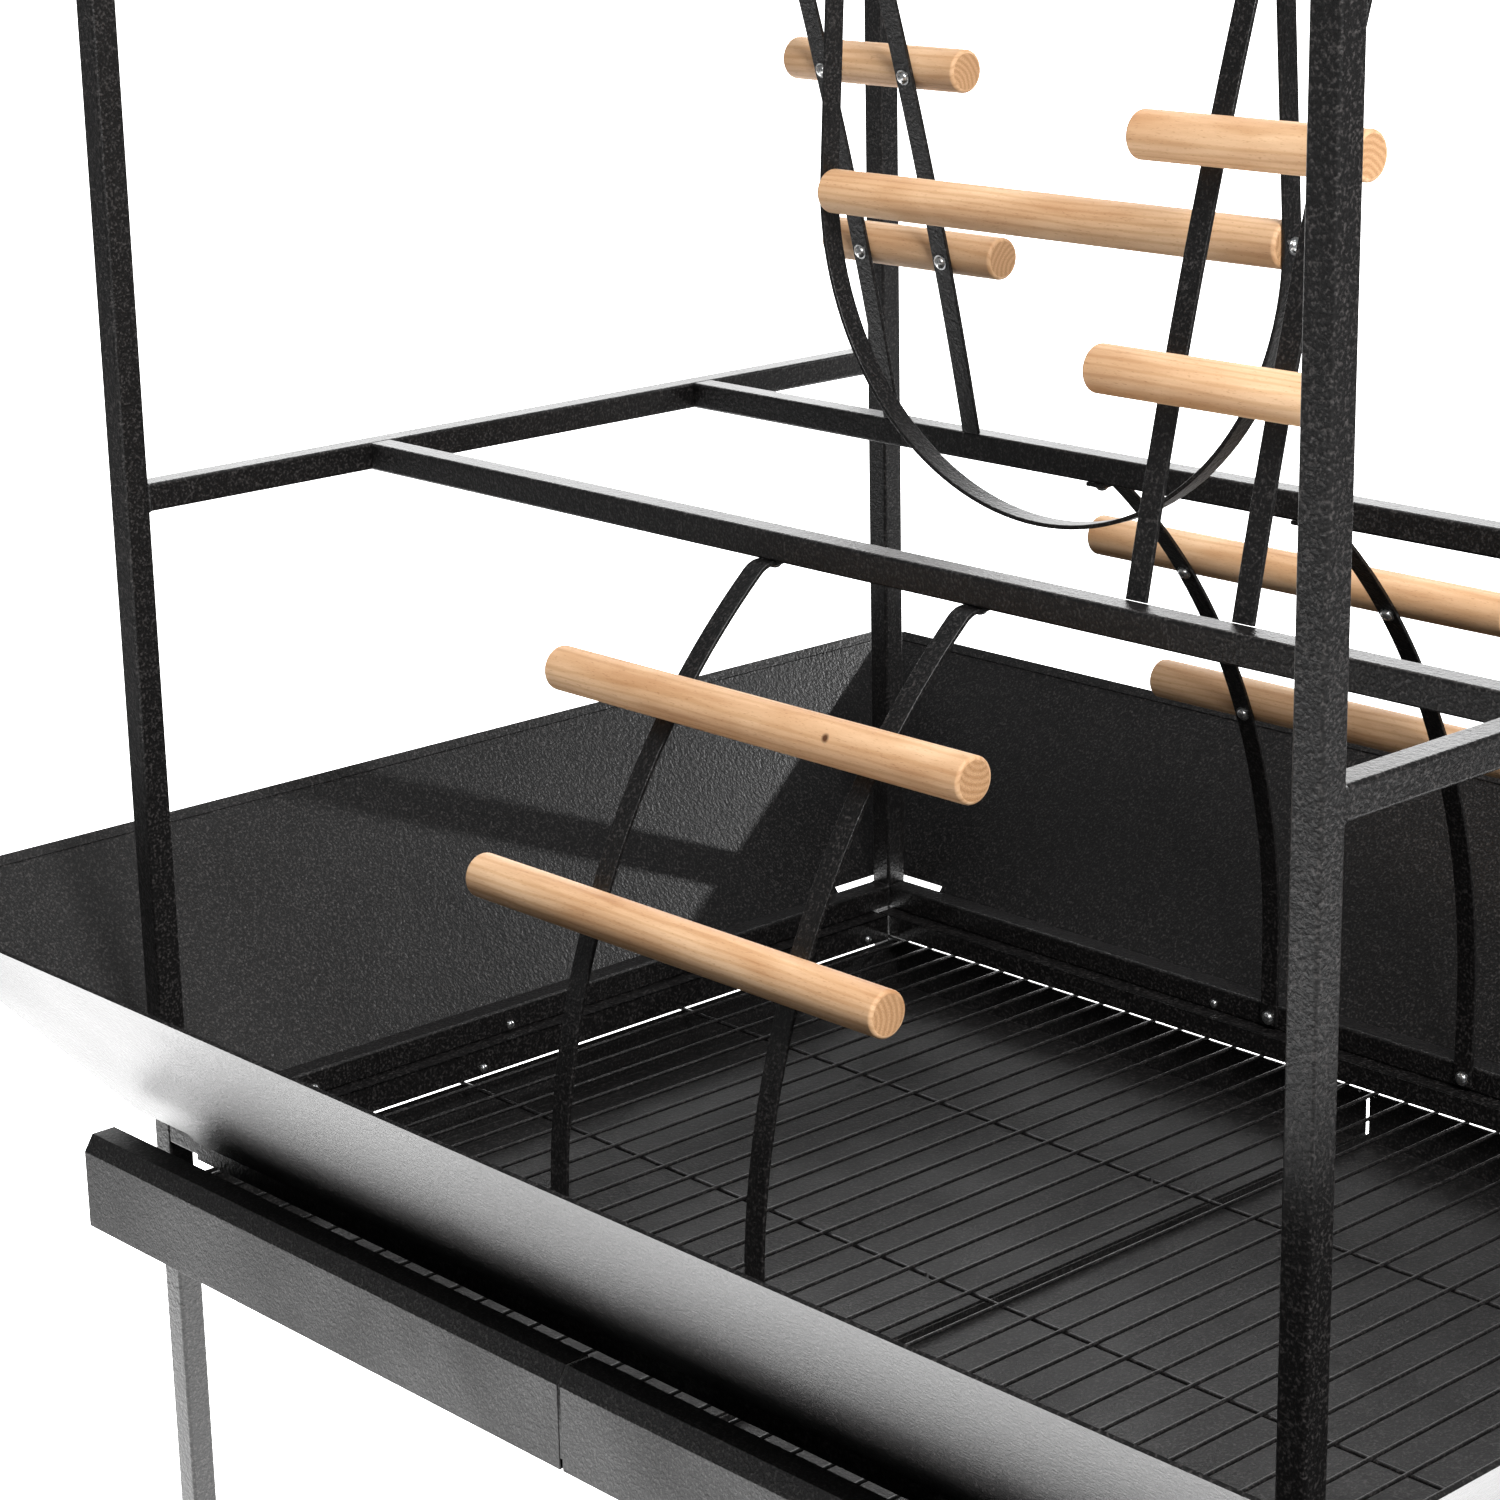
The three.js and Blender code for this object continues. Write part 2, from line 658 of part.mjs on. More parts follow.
for (const [corner, sx, sy] of corners) {
  const [x, y] = [sx * postX, sy * postY];
  place(`castor_socket_${corner}`, socket(x, y), blackPlastic());
  place(`castor_fork_${corner}`, fork(x, y), zinc());
  place(`castor_wheel_${corner}`, wheel(x, y), greyRubber());
}

export default object;
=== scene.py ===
import math

import bmesh
import bpy
from mathutils import Matrix, Vector


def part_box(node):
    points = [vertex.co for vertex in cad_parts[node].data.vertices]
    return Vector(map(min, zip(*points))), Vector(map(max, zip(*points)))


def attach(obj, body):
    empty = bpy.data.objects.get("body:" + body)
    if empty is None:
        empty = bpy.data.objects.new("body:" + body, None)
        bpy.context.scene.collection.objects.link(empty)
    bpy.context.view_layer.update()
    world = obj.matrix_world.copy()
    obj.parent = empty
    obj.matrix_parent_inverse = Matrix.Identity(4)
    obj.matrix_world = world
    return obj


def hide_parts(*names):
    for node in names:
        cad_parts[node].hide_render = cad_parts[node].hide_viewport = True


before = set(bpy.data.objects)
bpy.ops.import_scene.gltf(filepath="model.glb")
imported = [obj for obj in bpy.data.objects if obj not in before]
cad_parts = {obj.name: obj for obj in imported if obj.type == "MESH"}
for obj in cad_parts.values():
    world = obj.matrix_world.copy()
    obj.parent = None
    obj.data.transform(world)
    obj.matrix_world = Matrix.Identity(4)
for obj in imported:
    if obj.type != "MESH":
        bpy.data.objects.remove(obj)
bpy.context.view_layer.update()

# ---- Viewpoint and room ----
# The stand is looked at from its front right, a little from above, with a long lens.
# It stands on a pale floor that runs up into a round wall; the room's surface glows as painted light,
# in a pool round the stand and as a backdrop behind it, under two soft lamps, and a narrow spot from behind
# leaves light patches on the left guard.
camera_yaw, camera_pitch, camera_roll = (math.radians(a) for a in (47.568, 16.269, -1.174))
forward = Vector((
    -math.sin(camera_yaw) * math.cos(camera_pitch),
    math.cos(camera_yaw) * math.cos(camera_pitch),
    -math.sin(camera_pitch),
))
level_right = Vector((math.cos(camera_yaw), math.sin(camera_yaw), 0))
level_up = level_right.cross(forward)
tilted_right = math.cos(camera_roll) * level_right + math.sin(camera_roll) * level_up
tilted_up = math.cos(camera_roll) * level_up - math.sin(camera_roll) * level_right
camera_data = bpy.data.cameras.new("camera")
camera_data.sensor_width = 36
camera_data.lens = 86.72
camera_data.clip_end = 60
camera = bpy.data.objects.new("camera", camera_data)
camera.matrix_world = Matrix.Translation((1.5875, -1.7197, 1.51875)) @ Matrix(
    (tilted_right, tilted_up, -forward)
).transposed().to_4x4()
bpy.context.collection.objects.link(camera)
bpy.context.scene.camera = camera
bpy.context.scene.view_settings.view_transform = "Standard"


def wire_up(material):
    """A material's link maker, its surface shader and a maker of nodes with their settings."""
    material.use_nodes = True
    tree = material.node_tree
    shader = tree.nodes["Principled BSDF"]

    def node(kind, **settings):
        made = tree.nodes.new(kind)
        for key, value in settings.items():
            if hasattr(made, key):
                setattr(made, key, value)
            else:
                made.inputs[key.replace("_", " ")].default_value = value
        return made

    return tree.links.new, shader, node


def tones(ramp, *stops):
    """Sets the two stops of a colour ramp, each given as a position and a colour."""
    for element, (position, colour) in zip(ramp.color_ramp.elements, stops):
        element.position = position
        element.color = (*colour, 1)


def stage_surface(name, rings):
    """A round sheet swept about the middle of the room, from rings of (radius, height)."""
    spokes = 96
    bm = bmesh.new()
    loops = []
    turn = [2 * math.pi * k / spokes for k in range(spokes)]
    for radius, height in rings:
        loops.append([bm.verts.new((radius * math.cos(a), radius * math.sin(a), height)) for a in turn])
    for lower, upper in zip(loops, loops[1:]):
        for k in range(spokes):
            bm.faces.new((lower[k], lower[(k + 1) % spokes], upper[(k + 1) % spokes], upper[k]))
    bm.faces.new(loops[0][::-1])
    mesh = bpy.data.meshes.new(name)
    bm.to_mesh(mesh)
    bm.free()
    mesh.shade_smooth()
    made = bpy.data.objects.new(name, mesh)
    bpy.context.collection.objects.link(made)
    return made


room_radius, room_bend, room_height = 7.0, 1.6, 5.0
sweep = [(0.4, 0.0), (1.5, 0.0), (3.0, 0.0), (room_radius - room_bend, 0.0)]
sweep += [
    (room_radius - room_bend + room_bend * math.sin(a), room_bend - room_bend * math.cos(a))
    for a in (math.radians(9 * k) for k in range(1, 11))
]
sweep.append((room_radius, room_height))
room = stage_surface("room", sweep)
room_glow_material = bpy.data.materials.new("glowing_room_surface")
link, shader, node = wire_up(room_glow_material)
shader.inputs["Base Color"].default_value = (0.30, 0.30, 0.30, 1)
shader.inputs["Roughness"].default_value = 0.9
# The room's surface glows as painted light: a bright pool on the floor round the stand that falls off
# between 1.4 and 2.4 m out, a glowing backdrop on the wall behind the stand that grows brighter higher up,
# and a faint glow rising up the walls.
shader.inputs["Emission Color"].default_value = (1, 1, 1, 1)
place = node("ShaderNodeTexCoord")
parts = node("ShaderNodeSeparateXYZ")
link(place.outputs["Object"], parts.inputs[0])
flat = node("ShaderNodeCombineXYZ")
link(parts.outputs["X"], flat.inputs["X"])
link(parts.outputs["Y"], flat.inputs["Y"])
far = node("ShaderNodeVectorMath", operation="LENGTH")
link(flat.outputs[0], far.inputs[0])
floor_light_pool = node("ShaderNodeMapRange", interpolation_type="SMOOTHSTEP",
            From_Min=1.4, From_Max=2.4, To_Min=4.6, To_Max=0.05)
link(far.outputs["Value"], floor_light_pool.inputs["Value"])
behind = node("ShaderNodeVectorMath", operation="DOT_PRODUCT")
behind.inputs[1].default_value = (-0.74, 0.67, 0)
link(flat.outputs[0], behind.inputs[0])
glowing_backdrop = node("ShaderNodeMapRange", interpolation_type="SMOOTHSTEP",
                From_Min=0.3, From_Max=1.2, To_Min=0.0, To_Max=2.6)
link(behind.outputs["Value"], glowing_backdrop.inputs["Value"])
aside = node("ShaderNodeVectorMath", operation="DOT_PRODUCT")
aside.inputs[1].default_value = (0.67, 0.74, 0)
link(flat.outputs[0], aside.inputs[0])
off_line = node("ShaderNodeMath", operation="ABSOLUTE")
link(aside.outputs["Value"], off_line.inputs[0])
widening = node("ShaderNodeMath", operation="MULTIPLY_ADD")
widening.inputs[1].default_value = -0.36
link(behind.outputs["Value"], widening.inputs[0])
link(off_line.outputs[0], widening.inputs[2])
wings = node("ShaderNodeMapRange", interpolation_type="SMOOTHSTEP",
             From_Min=0.7, From_Max=1.3, To_Min=1.0, To_Max=0.0)
link(widening.outputs[0], wings.inputs["Value"])
screen = node("ShaderNodeMath", operation="MULTIPLY")
link(glowing_backdrop.outputs[0], screen.inputs[0])
link(wings.outputs[0], screen.inputs[1])
upward = node("ShaderNodeMapRange", interpolation_type="SMOOTHSTEP",
              From_Min=1.4, From_Max=2.6, To_Min=1.0, To_Max=1.8)
link(parts.outputs["Z"], upward.inputs["Value"])
tall_screen = node("ShaderNodeMath", operation="MULTIPLY")
link(screen.outputs[0], tall_screen.inputs[0])
link(upward.outputs[0], tall_screen.inputs[1])
rise = node("ShaderNodeMapRange", interpolation_type="SMOOTHSTEP",
            From_Min=0.5, From_Max=2.5, To_Min=0.0, To_Max=0.05)
link(parts.outputs["Z"], rise.inputs["Value"])
glow = node("ShaderNodeMath", operation="MAXIMUM")
link(floor_light_pool.outputs[0], glow.inputs[0])
link(tall_screen.outputs[0], glow.inputs[1])
total = node("ShaderNodeMath", operation="MAXIMUM")
link(glow.outputs[0], total.inputs[0])
link(rise.outputs[0], total.inputs[1])
link(total.outputs[0], shader.inputs["Emission Strength"])
room.data.materials.append(room_glow_material)


def lamp(name, watts, size, place_at, aim):
    data = bpy.data.lights.new(name, "AREA")
    data.energy = watts
    data.shape = "RECTANGLE"
    data.size, data.size_y = size
    made = bpy.data.objects.new(name, data)
    made.location = place_at
    made.rotation_euler = (Vector(aim) - Vector(place_at)).to_track_quat("-Z", "Y").to_euler()
    bpy.context.collection.objects.link(made)


lamp("side_lamp", 150, (1.0, 1.0), (2.3, -1.0, 2.9), (0, 0, 0.9))
lamp("overhead_lamp", 28, (2.0, 2.0), (-0.3, 0.2, 3.4), (0, 0, 0.5))

rear_data = bpy.data.lights.new("rear_spot", "SPOT")
rear_data.energy = 170
rear_data.shadow_soft_size = 0.03
rear_data.spot_size, rear_data.spot_blend = math.radians(17), 0.8
rear_spot = bpy.data.objects.new("rear_spot", rear_data)
rear_spot.location = (0.28, 3.04, 1.84)
rear_aim = Vector((-0.62, 0.20, 0.66)) - rear_spot.location
rear_spot.rotation_euler = rear_aim.to_track_quat("-Z", "Y").to_euler()
bpy.context.collection.objects.link(rear_spot)

world = bpy.data.worlds.new("dim_room_air")
world.use_nodes = True
world.node_tree.nodes["Background"].inputs["Color"].default_value = (0.9, 0.95, 1, 1)
world.node_tree.nodes["Background"].inputs["Strength"].default_value = 0.15
bpy.context.scene.world = world

# ---- Upper end frames ----
# Two posts with a middle and a top cross rail in 20 mm square steel tube, welded, ground and
# powder coated black as one piece. The long rails are fixed between the two end frames.
tube = 0.020
tube_corner = 0.0024
powder = bpy.data.materials.new("black_powder_coat")
link, shader, node = wire_up(powder)
shader.inputs["IOR"].default_value = 1.44
place = node("ShaderNodeTexCoord")
grit = node("ShaderNodeTexNoise", Scale=520.0, Detail=3.0)
peel = node("ShaderNodeTexNoise", Scale=260.0, Detail=3.0)
patch = node("ShaderNodeTexNoise", Scale=9.0, Detail=4.0)
for texture in (grit, peel, patch):
    link(place.outputs["Object"], texture.inputs["Vector"])
speck = node("ShaderNodeValToRGB")
tones(speck, (0.52, (0.0036, 0.0033, 0.0033)), (0.72, (0.046, 0.042, 0.041)))
link(grit.outputs["Fac"], speck.inputs["Fac"])
link(speck.outputs["Color"], shader.inputs["Base Color"])
gloss = node("ShaderNodeMapRange", From_Min=0.3, From_Max=0.7, To_Min=0.36, To_Max=0.40)
link(patch.outputs["Fac"], gloss.inputs["Value"])
link(gloss.outputs[0], shader.inputs["Roughness"])
height = node("ShaderNodeMath", operation="MULTIPLY_ADD")
height.inputs[1].default_value = 0.45
link(grit.outputs["Fac"], height.inputs[0])
link(peel.outputs["Fac"], height.inputs[2])
bump = node("ShaderNodeBump", Strength=0.55, Distance=0.0009)
link(height.outputs[0], bump.inputs["Height"])
link(bump.outputs[0], shader.inputs["Normal"])


def rounded_outline(width, depth, corner, steps=4):
    """Points round a rectangle with rounded corners, anticlockwise, as (across, up) pairs."""
    points = []
    for quarter, (sx, sy) in enumerate(((1, 1), (-1, 1), (-1, -1), (1, -1))):
        centre = (sx * (width / 2 - corner), sy * (depth / 2 - corner))
        for step in range(steps + 1):
            angle = math.pi / 2 * (quarter + step / steps)
            points.append((centre[0] + corner * math.cos(angle), centre[1] + corner * math.sin(angle)))
    return points


def loft(bm, loops):
    """Skins a run of vertex loops, each a list of points, and shuts both ends."""
    rings = [[bm.verts.new(p) for p in loop] for loop in loops]
    count = len(rings[0])
    for lower, upper in zip(rings, rings[1:]):
        for k in range(count):
            bm.faces.new((lower[k], lower[(k + 1) % count], upper[(k + 1) % count], upper[k]))
    bm.faces.new(rings[0][::-1])
    bm.faces.new(rings[-1])


def bar(bm, axis, low, high, corner, ease=0.0004):
    """A straight bar between two box corners with rounded long edges and eased ends."""
    low, high = Vector(low), Vector(high)
    order = {"x": (1, 2, 0), "y": (2, 0, 1), "z": (0, 1, 2)}[axis]
    size, centre = high - low, (low + high) / 2
    across, up, along = order

    def ring(shrink, at):
        loop = []
        for a, b in rounded_outline(size[across] - shrink, size[up] - shrink, corner - shrink / 2):
            point = Vector((0, 0, 0))
            point[across] = centre[across] + a
            point[up] = centre[up] + b
            point[along] = at
            loop.append(point)
        return loop

    loft(bm, [
        ring(2 * ease, low[along]),
        ring(0, low[along] + ease),
        ring(0, high[along] - ease),
        ring(2 * ease, high[along]),
    ])


def bead(bm, axis, at, centre, width, radius=0.0013):
    """A weld bead round the end of a square tube, where it meets a flat wall."""
    across, up, along = {"x": (1, 2, 0), "y": (2, 0, 1), "z": (0, 1, 2)}[axis]
    outline = rounded_outline(width, width, tube_corner, 5)
    inset = width / 2 - tube_corner
    sides = 6
    loops = []
    for k, (a, b) in enumerate(outline):
        swell = radius * (1 + 0.16 * math.sin(2.3 * k + 9 * centre[0]) + 0.1 * math.sin(5.1 * k))
        nearest = Vector([max(-1, min(1, value / inset)) * inset for value in (a, b)])
        normal = (Vector((a, b)) - nearest).normalized()
        loop = []
        for turn in range(sides):
            angle = 2 * math.pi * turn / sides
            reach = swell * math.cos(angle)
            point = Vector((0, 0, 0))
            point[across] = centre[across] + a + normal.x * (reach - 0.3 * radius)
            point[up] = centre[up] + b + normal.y * (reach - 0.3 * radius)
            point[along] = at + swell * math.sin(angle)
            loop.append(point)
        loops.append(loop)
    rings = [[bm.verts.new(p) for p in loop] for loop in loops]
    for k, ring in enumerate(rings):
        following = rings[(k + 1) % len(rings)]
        for t in range(sides):
            n = (t + 1) % sides
            bm.faces.new((ring[t], following[t], following[n], ring[n]))


def flattened(mesh, smooth_angle, rounding=None):
    """The mesh with its edges rounded, if asked, and its wide faces shaded flat."""
    holder = bpy.data.objects.new("holder", mesh)
    bpy.context.collection.objects.link(holder)
    if rounding:
        bevel = holder.modifiers.new("rounding", "BEVEL")
        bevel.width, bevel.angle_limit = rounding
        bevel.segments = 2
        bevel.limit_method = "ANGLE"
    mesh.shade_smooth()
    mesh.set_sharp_from_angle(angle=math.radians(smooth_angle))
    weighted = holder.modifiers.new("flat_faces", "WEIGHTED_NORMAL")
    weighted.keep_sharp = rounding is None
    weighted.weight = 80
    made = bpy.data.meshes.new_from_object(holder.evaluated_get(bpy.context.evaluated_depsgraph_get()))
    bpy.data.objects.remove(holder)
    return made


def finished(bm, name, material, body, nodes, smooth_angle=35):
    """Turns a bmesh into a piece at the origin that rides on a body and stands for CAD nodes."""
    bmesh.ops.recalc_face_normals(bm, faces=bm.faces)
    draft = bpy.data.meshes.new(name)
    bm.to_mesh(draft)
    bm.free()
    mesh = flattened(draft, smooth_angle)
    mesh.name = name
    for one in material if isinstance(material, tuple) else (material,):
        mesh.materials.append(one)
    piece = bpy.data.objects.new(name, mesh)
    bpy.context.collection.objects.link(piece)
    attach(piece, body)
    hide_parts(*nodes)
    return piece


def welded_rails(bm, x_low, x_high, low, high, tops):
    """Cross rails between the two posts of an end frame, with a weld bead round each end."""
    near, far = low.y + tube, high.y - tube
    for top in tops:
        bar(bm, "y", (x_low, near - weld_lap, top - tube), (x_high, far + weld_lap, top), tube_corner)
        for wall in (near, far):
            bead(bm, "y", wall, ((x_low + x_high) / 2, 0, top - tube / 2), tube - 0.0004)


weld_lap = 0.003
middle_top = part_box("middle_long_rail_front")[1].z
for side in ("left", "right"):
    low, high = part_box(f"post_frame_{side}")
    bm = bmesh.new()
    for y in (low.y, high.y - tube):
        bar(bm, "z", (low.x, y, low.z), (high.x, y + tube, high.z), tube_corner)
    welded_rails(bm, low.x, high.x, low, high, (middle_top, high.z))
    finished(bm, f"upper_end_frame_{side}", powder, "root", [f"post_frame_{side}"])

# ---- Post caps ----
# Pressed-in black nylon caps with a low crown that close the tops of the posts.
nylon = bpy.data.materials.new("black_nylon")
link, shader, node = wire_up(nylon)
place = node("ShaderNodeTexCoord")
mould = node("ShaderNodeTexNoise", Scale=900.0, Detail=2.0)
link(place.outputs["Object"], mould.inputs["Vector"])
bump = node("ShaderNodeBump", Strength=0.2, Distance=0.0003)
link(mould.outputs["Fac"], bump.inputs["Height"])
link(bump.outputs[0], shader.inputs["Normal"])
shade = node("ShaderNodeValToRGB")
tones(shade, (0, (0.012, 0.012, 0.012)), (1, (0.022, 0.022, 0.023)))
link(mould.outputs["Fac"], shade.inputs["Fac"])
link(shade.outputs["Color"], shader.inputs["Base Color"])
shader.inputs["Roughness"].default_value = 0.48
corners = [f"{end}_{side}" for end in ("front", "back") for side in ("left", "right")]
for corner in corners:
    low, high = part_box(f"post_cap_{corner}")
    bm = bmesh.new()
    loops = []
    lid_low = high.z - 0.002
    for shrink, z in ((0, lid_low), (0, high.z - 0.0009), (0.0012, high.z - 0.0003), (0.004, high.z)):
        loops.append([
            ((low.x + high.x) / 2 + a, (low.y + high.y) / 2 + b, z)
            for a, b in rounded_outline(tube - shrink, tube - shrink, tube_corner - shrink / 2.5)
        ])
    loft(bm, loops)
    finished(bm, f"post_cap_piece_{corner}", nylon, "root", [f"post_cap_{corner}"])

# ---- Lower end frames ----
# Two legs with a base rail and a stand rail, welded. The tray runner and the keeper angle are
# folded from 2 mm strip and welded inside the rails, where the tray slides between them.
base_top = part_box("base_beam_front")[1].z
stand_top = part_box("stand_beam_front")[1].z
keeper_bottom = 0.491
runner_wide = 0.015
angle_thick = 0.002
fold_corner, fold_ease = 0.0006, 0.0003
keeper_reach, keeper_lap, keeper_short = 0.015, 0.004, 0.016


def angle_leg(bm, x_one, x_two, half_length, z_low, z_high):
    """One leg of a folded angle that lies along Y."""
    low, high = (min(x_one, x_two), -half_length, z_low), (max(x_one, x_two), half_length, z_high)
    bar(bm, "y", low, high, fold_corner, fold_ease)


for side, sx in (("left", -1), ("right", 1)):
    low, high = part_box(f"leg_frame_{side}")
    outer = sx * max(abs(low.x), abs(high.x))
    inner = outer - sx * tube
    x_low, x_high = min(inner, outer), max(inner, outer)
    bm = bmesh.new()
    for y in (low.y, high.y - tube):
        bar(bm, "z", (x_low, y, low.z), (x_high, y + tube, base_top), tube_corner)
    welded_rails(bm, x_low, x_high, low, high, (base_top, stand_top))
    end = high.y - tube - angle_thick
    runner = inner - sx * runner_wide
    angle_leg(bm, inner, runner, end, stand_top - angle_thick, stand_top)
    web = inner - sx * angle_thick
    angle_leg(bm, inner, web, end, stand_top - runner_wide, stand_top - 0.0005)
    keeper_end = high.y - tube - keeper_short
    keeper = inner - sx * keeper_reach
    flat_far = outer - sx * keeper_lap
    keeper_top = base_top - tube
    angle_leg(bm, keeper, flat_far, keeper_end, keeper_top - angle_thick, keeper_top)
    web = keeper + sx * angle_thick
    angle_leg(bm, keeper, web, keeper_end, keeper_bottom, keeper_top)
    finished(bm, f"lower_end_frame_{side}", powder, "root", [f"leg_frame_{side}"])

# ---- Long rails and beams ----
# Straight lengths of the same tube, screwed between the two end frames from inside their rails.
back_keeper_bottom = 0.495
lug_x, lug_half, lug_thick = 0.18884, 0.009, 0.003
for name in ("middle_long_rail_front", "middle_long_rail_back", "base_beam_front",
             "stand_beam_front", "stand_beam_back", "base_beam_back", "top_centre_rail"):
    low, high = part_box(name)
    bm = bmesh.new()
    rail_low = Vector((low.x, high.y - tube, high.z - tube))
    if name == "top_centre_rail":
        rail_low.y, high.y = -tube / 2, tube / 2
    bar(bm, "x", rail_low, high, tube_corner)
    if name == "base_beam_back":
        flat_top = high.z - tube
        inside = high.y - tube - keeper_reach
        keep = high.x - 0.002
        flat_low, flat_high = (-keep, inside, flat_top - angle_thick), (keep, high.y - keeper_lap, flat_top)
        bar(bm, "x", flat_low, flat_high, fold_corner, fold_ease)
        web_low, web_high = (-keep, inside, back_keeper_bottom), (keep, inside + angle_thick, flat_top)
        bar(bm, "x", web_low, web_high, fold_corner, fold_ease)
    if name == "top_centre_rail":
        lug_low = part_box(name)[0].z
        for sx in (-1, 1):
            outline = []
            for k in range(13):
                angle = math.pi + math.pi * k / 12
                outline.append((lug_half * math.cos(angle), lug_low + lug_half + lug_half * math.sin(angle)))
            outline += [(lug_half, high.z - tube + 0.001), (-lug_half, high.z - tube + 0.001)]
            loft(bm, [[(sx * x, y, z) for y, z in outline] for x in (lug_x, lug_x + lug_thick)])
    finished(bm, f"{name}_tube", powder, "root", [name])


def eased(node_name, piece_name, width, material, body, angle=30):
    """A copy of a CAD node with its doubles merged, its flats joined and its edges rounded."""
    bm = bmesh.new()
    bm.from_mesh(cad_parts[node_name].data)
    bmesh.ops.remove_doubles(bm, verts=bm.verts, dist=2e-6)
    bmesh.ops.dissolve_limit(bm, angle_limit=math.radians(1), verts=bm.verts, edges=bm.edges)
    mesh = bpy.data.meshes.new(piece_name + "_blank")
    bm.to_mesh(mesh)
    bm.free()
    result = flattened(mesh, 180, (width, math.radians(angle)))
    result.name = piece_name
    result.materials.clear()
    result.materials.append(material)
    piece = bpy.data.objects.new(piece_name, result)
    bpy.context.collection.objects.link(piece)
    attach(piece, body)
    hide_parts(node_name)


eased("tray_centre_runner", "centre_runner_bar", 0.0008, powder, "root")

# ---- Seed guards ----
# Four trays of 1.2 mm sheet, folded out at 38 degrees from a flange screwed to the base beams,
# with a hemmed rim and rounded upper corners.
for side in ("front", "right", "back", "left"):
    eased(f"guard_{side}", f"seed_guard_{side}", 0.0004, powder, "root", 25)

# ---- Ladder strips ----
# Flat steel bar, 16 x 3 mm, bent to an arc. The top end is folded into a tab under a rail; the
# lower ladders are screwed to the base beam, the upper ones are welded to the middle rails.
bar_wide, bar_thick = 0.016, 0.003
clearance = 0.0003
bolt_spots = []                   # (place, direction that the head faces)
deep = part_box("base_beam_back")[1].y - tube
lower = {"R": 0.515, "z": middle_top - 0.417, "foot": base_top - 0.016}
lower["tab_top"] = middle_top - tube - clearance
lower["y"] = deep - clearance - bar_thick / 2 - lower["R"]
lower["tab_y"], lower["bolt_y"] = 0.1508, 0.1588
lean = math.radians(12)
upper = {"R": 3.6, "foot": middle_top + clearance, "tab_y": -0.008, "bolt_y": 0.0}
upper["z"] = middle_top - upper["R"] * math.sin(lean)
upper["y"] = 0.1505 - upper["R"] * math.cos(lean)
upper["tab_top"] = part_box("post_frame_left")[1].z - tube - clearance


def strip_path(ladder):
    """Centre line of a strip from its foot to the end of its tab, as (y, z) points."""
    R, cy, cz = ladder["R"], ladder["y"], ladder["z"]
    tab_z = ladder["tab_top"] - bar_thick / 2
    start = math.asin(max(0.0, ladder["foot"] - cz) / R)
    stop = math.asin((tab_z - cz) / R)
    path = [(cy + R, ladder["foot"])] if ladder["foot"] < cz - 0.001 else []
    count = 36
    bend = 0.007
    trimmed = stop - bend / R
    path += [(cy + R * math.cos(start + (trimmed - start) * k / count),
              cz + R * math.sin(start + (trimmed - start) * k / count)) for k in range(count + 1)]
    corner = Vector((cy + R * math.cos(stop), tab_z))
    leave = Vector((corner.x - bend, tab_z))
    begin = Vector(path[-1])
    for k in range(1, 9):
        t = k / 8
        path.append(tuple((1 - t) ** 2 * begin + 2 * t * (1 - t) * corner + t * t * leave))
    path.append((ladder["tab_y"], tab_z))
    return path


def flat_bar(bm, path, x, plane="yz"):
    """Sweeps the bar's rounded section along a path that lies in the YZ or the XZ plane."""
    loops = []
    section = rounded_outline(bar_wide, bar_thick, 0.0007, 3)
    for k, point in enumerate(path):
        before, after = Vector(path[max(0, k - 1)]), Vector(path[min(len(path) - 1, k + 1)])
        run = (after - before).normalized()
        out = Vector((run.y, -run.x))
        loop = []
        for wide, thick in section:
            a, b = Vector(point) + out * thick
            loop.append((x + wide, a, b) if plane == "yz" else (a, x - wide, b))
        loops.append(loop)
    loft(bm, loops)


strip_x = {}
for level in ("lower", "upper"):
    boxes = [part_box(f"{level}_ladder_back_strip_{index}") for index in (1, 2)]
    strip_x[level] = [(low.x + high.x) / 2 for low, high in boxes]
half_turn = Matrix.Rotation(math.pi, 4, "Z")
half_round = half_turn.to_3x3()
for level, ladder in (("lower", lower), ("upper", upper)):
    for end in ("back", "front"):
        for index, x in enumerate(strip_x[level], 1):
            bm = bmesh.new()
            flat_bar(bm, strip_path(ladder), x)
            if end == "front":
                bmesh.ops.transform(bm, matrix=half_turn, verts=bm.verts)
            node_name = f"{level}_ladder_{end}_strip_{index}"
            finished(bm, f"{node_name}_bar", powder, "root", [node_name])

# ---- Rungs ----
# Turned beech dowel, 30 mm across, sanded and left bare, with the ends rounded over. Each rung
# is bolted through both strips from their inner side.
dowel_radius = 0.015
beech = bpy.data.materials.new("bare_beech")
link, shader, node = wire_up(beech)
shader.inputs["Specular IOR Level"].default_value = 0.35
grain = node("ShaderNodeAttribute", attribute_name="grain")
stretch = node("ShaderNodeMapping")
stretch.inputs["Scale"].default_value = (6, 62, 62)
fibre = node("ShaderNodeTexNoise", Scale=1.0, Detail=6.0, Roughness=0.62)
link(grain.outputs["Vector"], stretch.inputs["Vector"])
link(stretch.outputs[0], fibre.inputs["Vector"])
ring_stretch = node("ShaderNodeMapping")
ring_stretch.inputs["Scale"].default_value = (9, 30, 30)
rings = node("ShaderNodeTexNoise", Scale=1.0, Detail=2.0, Distortion=0.6)
link(grain.outputs["Vector"], ring_stretch.inputs["Vector"])
link(ring_stretch.outputs[0], rings.inputs["Vector"])
figure = node("ShaderNodeTexWave", wave_type="RINGS", Scale=2.2, Distortion=5.5, Detail=3.0)
figure_stretch = node("ShaderNodeMapping")
